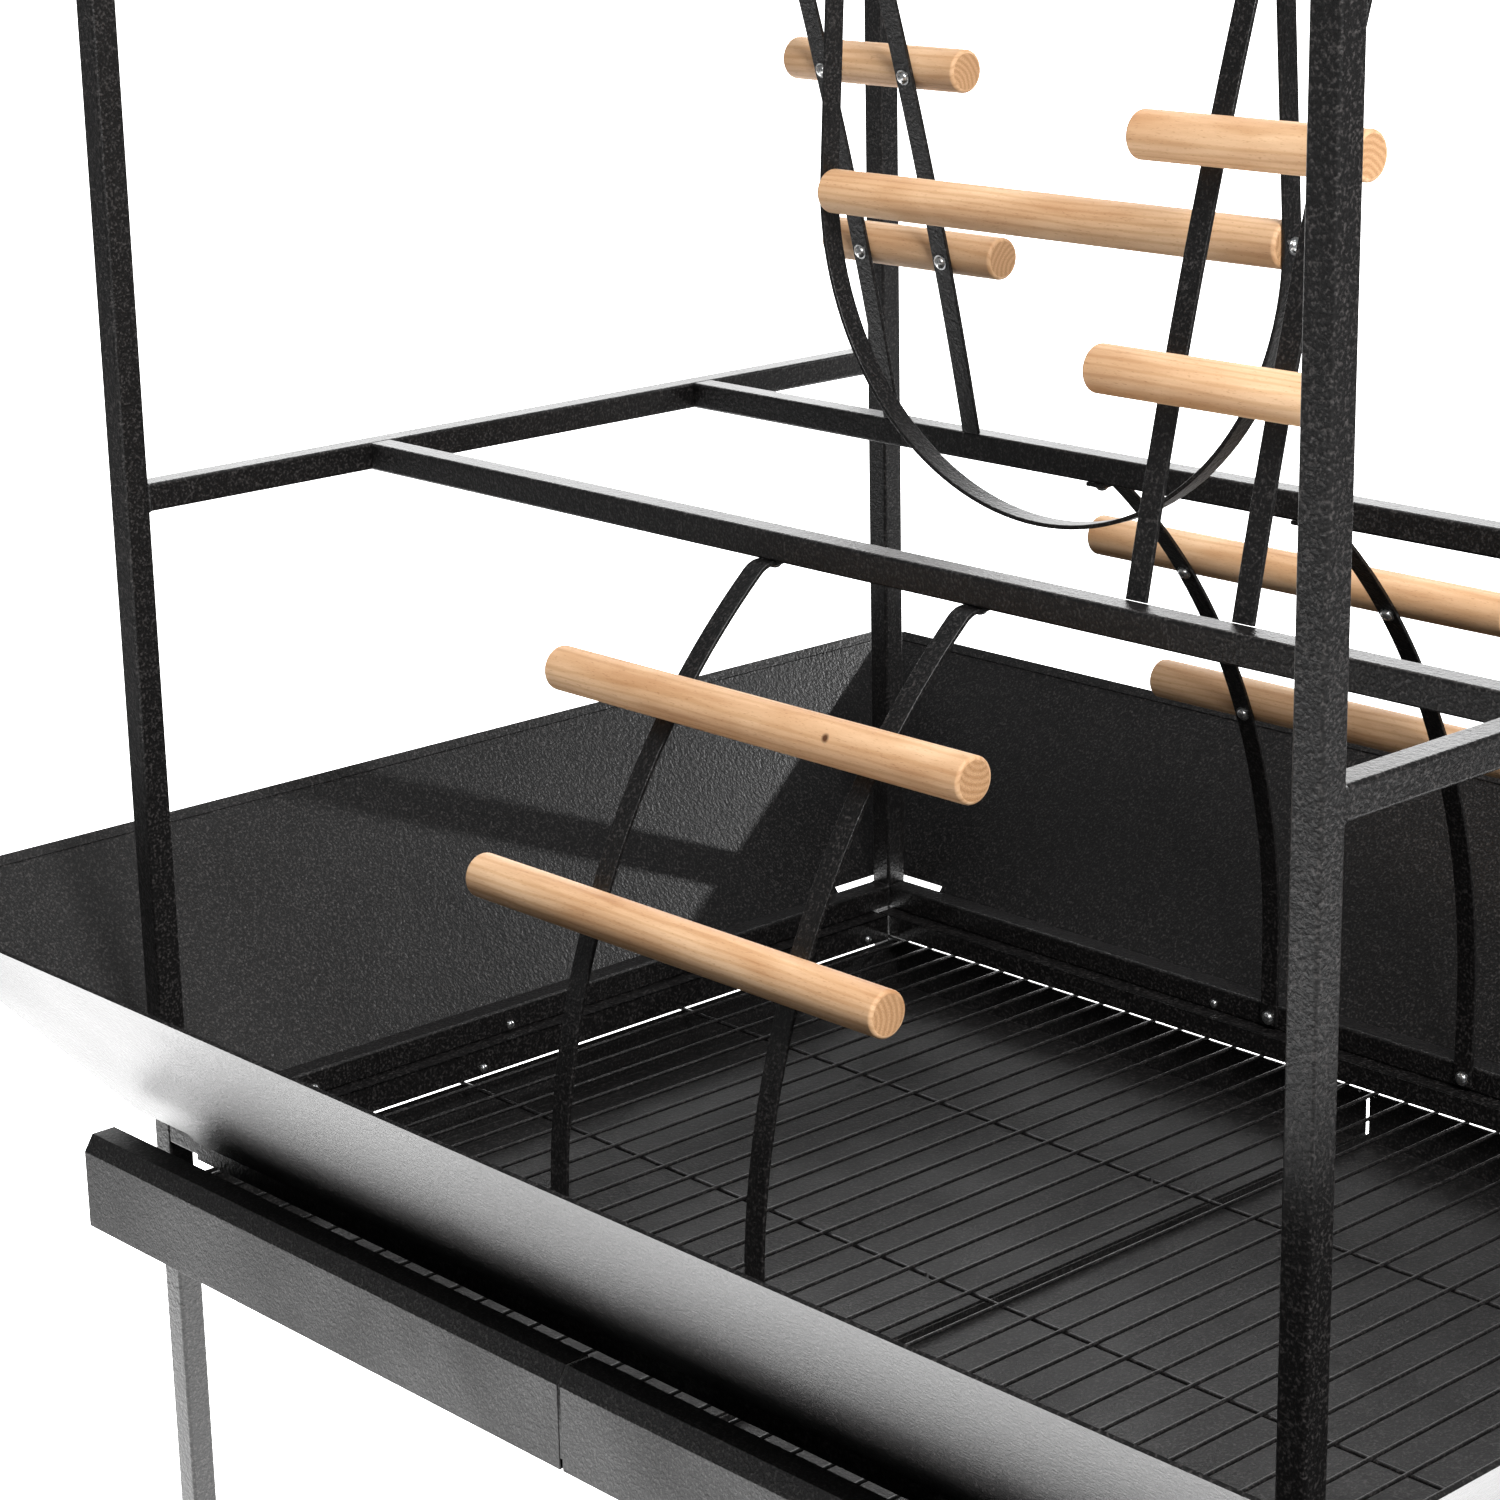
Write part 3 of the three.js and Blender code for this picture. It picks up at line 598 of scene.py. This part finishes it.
figure_stretch.inputs["Scale"].default_value = (3.0, 30, 30)
figure_stretch.inputs["Location"].default_value = (0.3, 1.1, 0.6)
link(grain.outputs["Vector"], figure_stretch.inputs["Vector"])
link(figure_stretch.outputs[0], figure.inputs["Vector"])
tone = node("ShaderNodeValToRGB")
tones(tone, (0.30, (0.60, 0.345, 0.180)), (0.66, (0.84, 0.57, 0.35)))
link(fibre.outputs["Fac"], tone.inputs["Fac"])
streak = node("ShaderNodeValToRGB")
tones(streak, (0.32, (0.80, 0.70, 0.60)), (0.60, (1, 1, 1)))
link(rings.outputs["Fac"], streak.inputs["Fac"])
band = node("ShaderNodeValToRGB")
tones(band, (0.05, (0.86, 0.79, 0.70)), (0.45, (1, 1, 1)))
link(figure.outputs["Fac"], band.inputs["Fac"])
mixed = node("ShaderNodeMix", data_type="RGBA", blend_type="MULTIPLY")
mixed.inputs["Factor"].default_value = 0.8
link(tone.outputs["Color"], mixed.inputs[6])
link(streak.outputs["Color"], mixed.inputs[7])
banded = node("ShaderNodeMix", data_type="RGBA", blend_type="MULTIPLY")
banded.inputs["Factor"].default_value = 0.8
link(mixed.outputs[2], banded.inputs[6])
link(band.outputs["Color"], banded.inputs[7])
fleck_stretch = node("ShaderNodeMapping")
fleck_stretch.inputs["Scale"].default_value = (260, 1500, 1500)
flecks = node("ShaderNodeTexNoise", Scale=1.0, Detail=1.0)
link(grain.outputs["Vector"], fleck_stretch.inputs["Vector"])
link(fleck_stretch.outputs[0], flecks.inputs["Vector"])
fleck_tone = node("ShaderNodeValToRGB")
tones(fleck_tone, (0.62, (1, 1, 1)), (0.74, (0.66, 0.52, 0.40)))
link(flecks.outputs["Fac"], fleck_tone.inputs["Fac"])
flecked = node("ShaderNodeMix", data_type="RGBA", blend_type="MULTIPLY")
flecked.inputs["Factor"].default_value = 0.55
link(banded.outputs[2], flecked.inputs[6])
link(fleck_tone.outputs["Color"], flecked.inputs[7])
dull = node("ShaderNodeMapRange")
dull.inputs["To Min"].default_value, dull.inputs["To Max"].default_value = 0.5, 0.66
link(fibre.outputs["Fac"], dull.inputs["Value"])
link(dull.outputs[0], shader.inputs["Roughness"])
bump = node("ShaderNodeBump", Strength=0.25, Distance=0.0004)
link(flecks.outputs["Fac"], bump.inputs["Height"])
link(bump.outputs[0], shader.inputs["Normal"])

# One pin knot on the upper rung of the lower front ladder.
grain_turn, grain_step, knotty_rung = 1.9, 0.73, 4
knot_at = Matrix.Rotation(grain_turn * knotty_rung, 3, "X") @ Vector((0.0762, -0.0134, 0.0067))
knot_at.x += grain_step * knotty_rung
reach = node("ShaderNodeVectorMath", operation="DISTANCE")
reach.inputs[1].default_value = knot_at
link(grain.outputs["Vector"], reach.inputs[0])
knot_tone = node("ShaderNodeValToRGB")
tones(knot_tone, (0.25, (0.16, 0.10, 0.06)), (0.6, (1, 1, 1)))
knot_size = node("ShaderNodeMapRange")
knot_size.inputs["From Max"].default_value = 0.006
link(reach.outputs["Value"], knot_size.inputs["Value"])
link(knot_size.outputs[0], knot_tone.inputs["Fac"])
knotted = node("ShaderNodeMix", data_type="RGBA", blend_type="MULTIPLY")
knotted.inputs["Factor"].default_value = 1
link(flecked.outputs[2], knotted.inputs[6])
link(knot_tone.outputs["Color"], knotted.inputs[7])
link(knotted.outputs[2], shader.inputs["Base Color"])

end_grain = bpy.data.materials.new("beech_end_grain")
link, shader, node = wire_up(end_grain)
grain = node("ShaderNodeAttribute", attribute_name="grain")
year = node("ShaderNodeTexWave", wave_type="RINGS", rings_direction="X",
            Scale=75.0, Distortion=2.4, Detail=2.0)
heart = node("ShaderNodeMapping")
heart.inputs["Location"].default_value = (0, 0.016, -0.009)
link(grain.outputs["Vector"], heart.inputs["Vector"])
link(heart.outputs[0], year.inputs["Vector"])
pores = node("ShaderNodeTexNoise", Scale=1400.0, Detail=2.0)
link(grain.outputs["Vector"], pores.inputs["Vector"])
ring_tone = node("ShaderNodeValToRGB")
tones(ring_tone, (0, (0.50, 0.27, 0.125)), (1, (0.64, 0.38, 0.20)))
link(year.outputs["Fac"], ring_tone.inputs["Fac"])
pore_tone = node("ShaderNodeValToRGB")
tones(pore_tone, (0.35, (0.62, 0.55, 0.48)), (0.6, (1, 1, 1)))
link(pores.outputs["Fac"], pore_tone.inputs["Fac"])
mixed = node("ShaderNodeMix", data_type="RGBA", blend_type="MULTIPLY")
mixed.inputs["Factor"].default_value = 0.6
link(ring_tone.outputs["Color"], mixed.inputs[6])
link(pore_tone.outputs["Color"], mixed.inputs[7])
link(mixed.outputs[2], shader.inputs["Base Color"])
bump = node("ShaderNodeBump", Strength=0.3, Distance=0.0004)
link(pores.outputs["Fac"], bump.inputs["Height"])
link(bump.outputs[0], shader.inputs["Normal"])
shader.inputs["Roughness"].default_value = 0.72


def dowel(name, centre, body, node_name, number):
    """A rung along X: a turned dowel whose own coordinates are stored for its grain."""
    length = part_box(node_name)[1].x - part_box(node_name)[0].x
    half, round_over, around = length / 2, 0.0025, 56
    profile = [(0.0, -half)]
    for k in range(7):
        a = math.pi / 2 * k / 6
        profile.append((dowel_radius - round_over + round_over * math.sin(a),
                        -half + round_over - round_over * math.cos(a)))
    inside = 10
    profile += [(dowel_radius, -half + round_over + (length - 2 * round_over) * k / inside)
                for k in range(1, inside)]
    profile += [(r, -x) for r, x in reversed(profile[1:8])]
    profile.append((0.0, half))
    bm = bmesh.new()
    rows = []
    for r, x in profile:
        if r == 0:
            rows.append([bm.verts.new((centre.x + x, centre.y, centre.z))])
            continue
        spin = (2 * math.pi * k / around for k in range(around))
        rows.append([bm.verts.new((centre.x + x, centre.y + r * math.cos(a), centre.z + r * math.sin(a)))
                     for a in spin])
    for index, (first, second) in enumerate(zip(rows, rows[1:])):
        for k in range(around):
            n = (k + 1) % around
            if len(first) == 1:
                face = bm.faces.new((first[0], second[n], second[k]))
            elif len(second) == 1:
                face = bm.faces.new((first[k], first[n], second[0]))
            else:
                face = bm.faces.new((first[k], first[n], second[n], second[k]))
            face.material_index = 1 if index in (0, len(rows) - 2) else 0
    piece = finished(bm, name, (beech, end_grain), body, [node_name], 50)
    own = piece.data.attributes.new("grain", "FLOAT_VECTOR", "POINT")
    turn = Matrix.Rotation(grain_turn * number, 3, "X")
    for vertex, value in zip(piece.data.vertices, own.data):
        value.vector = turn @ (vertex.co - centre) + Vector((grain_step * number, 0, 0))


rung_number = 0
for level, ladder, angles in (("lower", lower, (22.1, 37.8)), ("upper", upper, (14.1, 16.3, 18.5))):
    for end in ("back", "front"):
        for index, degrees in enumerate(angles, 1):
            rung_number += 1
            node_name = f"{level}_ladder_{end}_rung_{index}"
            angle = math.radians(degrees)
            radial = Vector((0, math.cos(angle), math.sin(angle)))
            middle = sum(strip_x[level]) / 2
            hub = Vector((middle, ladder["y"], ladder["z"]))
            centre = hub + radial * (ladder["R"] + bar_thick / 2 + clearance + dowel_radius)
            for x in strip_x[level]:
                seat = Vector((x, ladder["y"], ladder["z"])) + radial * (ladder["R"] - bar_thick / 2)
                bolt_spots.append((half_turn @ seat if end == "front" else seat,
                                   half_round @ -radial if end == "front" else -radial))
            if end == "front":
                centre = half_turn @ centre
            dowel(f"{node_name}_dowel", centre, "root", node_name, rung_number)
        for x in strip_x[level]:
            tab = Vector((x, ladder["bolt_y"], ladder["tab_top"] - bar_thick))
            spots = [(tab, Vector((0, 0, -1)))]
            if level == "lower":
                foot = Vector((x, deep - clearance - bar_thick, base_top - tube / 2))
                spots.append((foot, Vector((0, -1, 0))))
            for spot, facing in spots:
                if end == "front":
                    spot, facing = half_turn @ spot, half_round @ facing
                bolt_spots.append((spot, facing))

# ---- Bolts and guard screws ----
# Zinc-plated dome-head bolts on plain washers: on the inner side of every strip at each rung,
# under each tab, at the feet of the lower ladders and, for the guards, inside the base rails.
zinc = bpy.data.materials.new("bright_zinc")
link, shader, node = wire_up(zinc)
shader.inputs["Metallic"].default_value = 1
place = node("ShaderNodeTexCoord")
haze = node("ShaderNodeTexNoise", Scale=500.0, Detail=4.0)
link(place.outputs["Object"], haze.inputs["Vector"])
cast = node("ShaderNodeValToRGB")
tones(cast, (0.35, (0.52, 0.53, 0.55)), (0.7, (0.74, 0.74, 0.71)))
link(haze.outputs["Fac"], cast.inputs["Fac"])
link(cast.outputs["Color"], shader.inputs["Base Color"])
worn = node("ShaderNodeMapRange")
worn.inputs["To Min"].default_value, worn.inputs["To Max"].default_value = 0.2, 0.38
link(haze.outputs["Fac"], worn.inputs["Value"])
link(worn.outputs[0], shader.inputs["Roughness"])

head_radius, head_rise, washer_radius, washer_thick = 0.0045, 0.0028, 0.0056, 0.0009
flange_z = base_top - 0.014
inner_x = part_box("post_frame_right")[0].x
keeper_web_x = inner_x - keeper_reach
guard_spots = []
for y in (-0.25, -0.06, 0.13):
    guard_screw = (Vector((-inner_x, y, flange_z)), Vector((1, 0, 0)))
    guard_spots += [guard_screw, tuple(half_round @ v for v in guard_screw)]
for y in (-0.32, -0.10, 0.32):
    keeper_screw = (Vector((-keeper_web_x, y, keeper_bottom + 0.006)), Vector((1, 0, 0)))
    guard_spots += [keeper_screw, tuple(half_round @ v for v in keeper_screw)]
for x in (-0.15, 0.15):
    beam_screw = (Vector((x, -deep, flange_z)), Vector((0, 1, 0)))
    guard_spots += [beam_screw, tuple(half_round @ v for v in beam_screw)]

bolt_tree = bpy.data.node_groups.new("dome_bolts", "GeometryNodeTree")
bolt_tree.interface.new_socket("Geometry", in_out="INPUT", socket_type="NodeSocketGeometry")
size_sockets = {}
for label, value in (("Head radius", head_radius), ("Head rise", head_rise),
                     ("Washer radius", washer_radius), ("Washer thickness", washer_thick)):
    made = bolt_tree.interface.new_socket(label, in_out="INPUT", socket_type="NodeSocketFloat")
    made.default_value = value
    size_sockets[made.identifier] = value
bolt_tree.interface.new_socket("Geometry", in_out="OUTPUT", socket_type="NodeSocketGeometry")
nodes, link = bolt_tree.nodes, bolt_tree.links.new
given, result = nodes.new("NodeGroupInput"), nodes.new("NodeGroupOutput")
ball = nodes.new("GeometryNodeMeshUVSphere")
ball.inputs["Segments"].default_value, ball.inputs["Rings"].default_value = 16, 8
ball.inputs["Radius"].default_value = 1
squeeze = nodes.new("ShaderNodeCombineXYZ")
link(given.outputs["Head radius"], squeeze.inputs["X"])
link(given.outputs["Head radius"], squeeze.inputs["Y"])
link(given.outputs["Head rise"], squeeze.inputs["Z"])
lift = nodes.new("ShaderNodeCombineXYZ")
link(given.outputs["Washer thickness"], lift.inputs["Z"])
dome = nodes.new("GeometryNodeTransform")
link(ball.outputs["Mesh"], dome.inputs["Geometry"])
link(squeeze.outputs[0], dome.inputs["Scale"])
link(lift.outputs[0], dome.inputs["Translation"])
disc = nodes.new("GeometryNodeMeshCylinder")
disc.inputs["Vertices"].default_value = 20
link(given.outputs["Washer radius"], disc.inputs["Radius"])
link(given.outputs["Washer thickness"], disc.inputs["Depth"])
raised = nodes.new("GeometryNodeTransform")
half_up = nodes.new("ShaderNodeVectorMath")
half_up.operation = "SCALE"
half_up.inputs["Scale"].default_value = 0.5
link(lift.outputs[0], half_up.inputs[0])
link(disc.outputs["Mesh"], raised.inputs["Geometry"])
link(half_up.outputs[0], raised.inputs["Translation"])
joined = nodes.new("GeometryNodeJoinGeometry")
link(dome.outputs[0], joined.inputs[0])
link(raised.outputs[0], joined.inputs[0])
facing = nodes.new("GeometryNodeInputNamedAttribute")
facing.data_type = "FLOAT_VECTOR"
facing.inputs["Name"].default_value = "facing"
aligned = nodes.new("FunctionNodeAlignRotationToVector")
aligned.axis = "Z"
link(facing.outputs[0], aligned.inputs["Vector"])
spread = nodes.new("GeometryNodeInstanceOnPoints")
link(given.outputs["Geometry"], spread.inputs["Points"])
link(joined.outputs[0], spread.inputs["Instance"])
link(aligned.outputs[0], spread.inputs["Rotation"])
real = nodes.new("GeometryNodeRealizeInstances")
link(spread.outputs[0], real.inputs[0])
coat = nodes.new("GeometryNodeSetMaterial")
coat.inputs["Material"].default_value = zinc
link(real.outputs[0], coat.inputs["Geometry"])
link(coat.outputs[0], result.inputs[0])


def grown(name, seed_mesh, tree, values, body, nodes_replaced=()):
    """Runs a node tree on a mesh and keeps the result as a plain piece."""
    seed = bpy.data.objects.new(name + "_seed", seed_mesh)
    bpy.context.collection.objects.link(seed)
    growth = seed.modifiers.new("growth", "NODES")
    growth.node_group = tree
    for identifier, value in values.items():
        growth[identifier] = value
    evaluated = seed.evaluated_get(bpy.context.evaluated_depsgraph_get())
    mesh = bpy.data.meshes.new_from_object(evaluated)
    bpy.data.objects.remove(seed)
    mesh.name = name
    mesh.shade_smooth()
    mesh.set_sharp_from_angle(angle=math.radians(45))
    piece = bpy.data.objects.new(name, mesh)
    bpy.context.collection.objects.link(piece)
    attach(piece, body)
    if nodes_replaced:
        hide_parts(*nodes_replaced)


def spots_mesh(name, spots):
    """A mesh of bare points, each with the direction that its bolt head faces."""
    mesh = bpy.data.meshes.new(name)
    mesh.from_pydata([tuple(p) for p, _ in spots], [], [])
    direction = mesh.attributes.new("facing", "FLOAT_VECTOR", "POINT")
    for value, (_, way) in zip(direction.data, spots):
        value.vector = way
    return mesh


grown("ladder_bolts", spots_mesh("bolt_spots", bolt_spots), bolt_tree, size_sockets, "root")
small_sockets = {identifier: 0.65 * value for identifier, value in size_sockets.items()}
grown("guard_screws", spots_mesh("guard_spots", guard_spots), bolt_tree, small_sockets, "root")

# ---- Hoop swing ----
# One length of the flat bar bent into a U, hung on two M6 bolts from lugs under the centre rail,
# with a beech perch screwed between its legs.
hoop_inner, hoop_z = 0.2003, middle_top + 0.1925
strap_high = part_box("swing_strap")[1]
lean = math.radians(3.4)
line_radius = hoop_inner + bar_thick / 2
leg_rise = strap_high.z - hoop_z
perch_number = 23
path = [(-line_radius + leg_rise * math.tan(lean), hoop_z + leg_rise)]
path += [(-line_radius + leg_rise * math.tan(lean) * s, hoop_z + leg_rise * s)
         for s in (0.75, 0.5, 0.25, 0.06)]
path += [(line_radius * math.cos(a), hoop_z + line_radius * math.sin(a))
         for a in (math.pi + math.pi * k / 64 for k in range(65))]
path += [(line_radius - leg_rise * math.tan(lean) * s, hoop_z + leg_rise * s)
         for s in (0.06, 0.25, 0.5, 0.75, 1)]
bm = bmesh.new()
flat_bar(bm, path, 0, "xz")
finished(bm, "swing_hoop", powder, "swing", ["swing_strap"])
dowel("swing_perch_dowel", Vector((0, 0, hoop_z)), "swing", "swing_perch", perch_number)
screw_spots = [(Vector((s * (line_radius + bar_thick / 2), 0, hoop_z)), Vector((s, 0, 0))) for s in (-1, 1)]
grown("swing_perch_screws", spots_mesh("screw_spots", screw_spots), bolt_tree, size_sockets,
      "swing", ["swing_perch_screw_left", "swing_perch_screw_right"])
for side in ("left", "right"):
    eased(f"swing_pivot_{side}", f"swing_pivot_bolt_{side}", 0.0004, zinc, "root")

# ---- Trays ----
# Two drawers of folded sheet that slide on the runners, each with a tall front whose top is
# folded over into a lip and a deep fascia. Seed and droppings have dulled their coat.
dull_powder = powder.copy()
dull_powder.name = "dulled_powder_coat"
dull_gloss = next(n for n in dull_powder.node_tree.nodes if n.bl_idname == "ShaderNodeMapRange")
dull_gloss.inputs["To Min"].default_value, dull_gloss.inputs["To Max"].default_value = 0.52, 0.66
for side in ("left", "right"):
    eased(f"tray_{side}", f"pull_out_tray_{side}", 0.0004, dull_powder, f"tray_{side}",
          25)

# ---- Wire floors ----
# Drawn 3 mm wire welded into a mat: long wires from front to back, on cross wires that rest on
# the tray's sides. It slides out with its tray.
wire_pitch, wire_radius, wire_count = 0.028, 0.0015, 18
mat_tree = bpy.data.node_groups.new("wire_mat", "GeometryNodeTree")
for label, kind in (("Geometry", "Geometry"), ("Pitch", "Float"), ("Radius", "Float"), ("Length", "Float"),
                    ("Width", "Float"), ("First", "Float"), ("Middle x", "Float"), ("Middle y", "Float"),
                    ("Height", "Float"), ("Count", "Int")):
    mat_tree.interface.new_socket(label, in_out="INPUT", socket_type=f"NodeSocket{kind}")
mat_tree.interface.new_socket("Geometry", in_out="OUTPUT", socket_type="NodeSocketGeometry")
nodes, link = mat_tree.nodes, mat_tree.links.new
given, result = nodes.new("NodeGroupInput"), nodes.new("NodeGroupOutput")


def wires(points, length_from, about_x):
    """Instances of one wire on points, lying along Y, or along X when about_x is False."""
    wire = nodes.new("GeometryNodeMeshCylinder")
    wire.inputs["Vertices"].default_value = 10
    link(given.outputs["Radius"], wire.inputs["Radius"])
    link(length_from, wire.inputs["Depth"])
    copies = nodes.new("GeometryNodeInstanceOnPoints")
    copies.inputs["Rotation"].default_value = (math.pi / 2, 0, 0) if about_x else (0, math.pi / 2, 0)
    link(points, copies.inputs["Points"])
    link(wire.outputs["Mesh"], copies.inputs["Instance"])
    return copies.outputs[0]


row = nodes.new("GeometryNodeMeshLine")
start, step = nodes.new("ShaderNodeCombineXYZ"), nodes.new("ShaderNodeCombineXYZ")
link(given.outputs["First"], start.inputs["X"])
link(given.outputs["Middle y"], start.inputs["Y"])
link(given.outputs["Height"], start.inputs["Z"])
link(given.outputs["Pitch"], step.inputs["X"])
link(given.outputs["Count"], row.inputs["Count"])
link(start.outputs[0], row.inputs["Start Location"])
link(step.outputs[0], row.inputs["Offset"])
joined = nodes.new("GeometryNodeJoinGeometry")
link(wires(row.outputs[0], given.outputs["Length"], True), joined.inputs[0])
link(wires(given.outputs["Geometry"], given.outputs["Width"], False), joined.inputs[0])
real = nodes.new("GeometryNodeRealizeInstances")
link(joined.outputs[0], real.inputs[0])
coat = nodes.new("GeometryNodeSetMaterial")
coat.inputs["Material"].default_value = powder
link(real.outputs[0], coat.inputs["Geometry"])
link(coat.outputs[0], result.inputs[0])
identifiers = {s.name: s.identifier for s in mat_tree.interface.items_tree if s.in_out == "INPUT"}
for side, sx in (("left", -1), ("right", 1)):
    low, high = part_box(f"grid_{side}")
    middle_x, middle_y = (low.x + high.x) / 2, (low.y + high.y) / 2
    seeds = bpy.data.meshes.new(f"cross_wire_spots_{side}")
    cross_z = low.z + wire_radius
    rows_at = (low.y + 0.005, -0.115, 0.115, high.y - 0.005)
    seeds.from_pydata([(middle_x, y, cross_z) for y in rows_at], [], [])
    first = sx * wire_pitch / 2 if sx > 0 else -wire_pitch * (wire_count - 0.5)
    sizes = {"Pitch": wire_pitch, "Radius": wire_radius, "Length": high.y - low.y, "Width": high.x - low.x,
             "First": first, "Middle x": middle_x, "Middle y": middle_y, "Height": high.z - wire_radius,
             "Count": wire_count}
    grown(f"wire_floor_{side}", seeds, mat_tree, {identifiers[k]: v for k, v in sizes.items()},
          f"tray_{side}", [f"grid_{side}"])

# ---- Castors ----
# Nylon sockets pressed into the legs hold the stems of zinc-plated swivel forks; each wheel is a
# grey plastic hub with a soft tread moulded round it.
tread = bpy.data.materials.new("grey_tread")
link, shader, node = wire_up(tread)
place = node("ShaderNodeTexCoord")
scuff = node("ShaderNodeTexNoise", Scale=160.0, Detail=5.0)
link(place.outputs["Object"], scuff.inputs["Vector"])
shade = node("ShaderNodeValToRGB")
tones(shade, (0, (0.055, 0.055, 0.058)), (1, (0.125, 0.125, 0.13)))
link(scuff.outputs["Fac"], shade.inputs["Fac"])
link(shade.outputs["Color"], shader.inputs["Base Color"])
shader.inputs["Roughness"].default_value = 0.62
for corner in corners:
    eased(f"castor_socket_{corner}", f"castor_socket_piece_{corner}", 0.0008, nylon, "root")
    eased(f"castor_fork_{corner}", f"castor_fork_piece_{corner}", 0.0004, zinc, f"fork_{corner}")
    low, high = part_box(f"castor_wheel_{corner}")
    hub = (low + high) / 2
    radius, half = (high.z - low.z) / 2, 0.010
    section = [(0.0031, -half - 0.001), (0.0085, -half - 0.001), (0.009, -half - 0.0005),
               (0.009, -half + 0.002), (0.0205, -half + 0.0035), (0.022, -half + 0.002),
               (0.0225, -half), (0.027, -half)]
    section += [(0.027 + 0.003 * math.sin(a), -half + 0.004 - 0.004 * math.cos(a))
                for a in (math.pi / 2 * k / 5 for k in range(1, 6))]
    section += [(r, -x) for r, x in reversed(section)]
    bm = bmesh.new()
    rows = []
    around = 48
    for r, x in section:
        spin = (2 * math.pi * k / around for k in range(around))
        rows.append([bm.verts.new((hub.x + x, hub.y + r * math.cos(a), radius + r * math.sin(a)))
                     for a in spin])
    for first, second in zip(rows, rows[1:] + rows[:1]):
        for k in range(around):
            n = (k + 1) % around
            bm.faces.new((first[k], first[n], second[n], second[k]))
    finished(bm, f"castor_wheel_piece_{corner}", tread, f"wheel_{corner}",
             [f"castor_wheel_{corner}"])
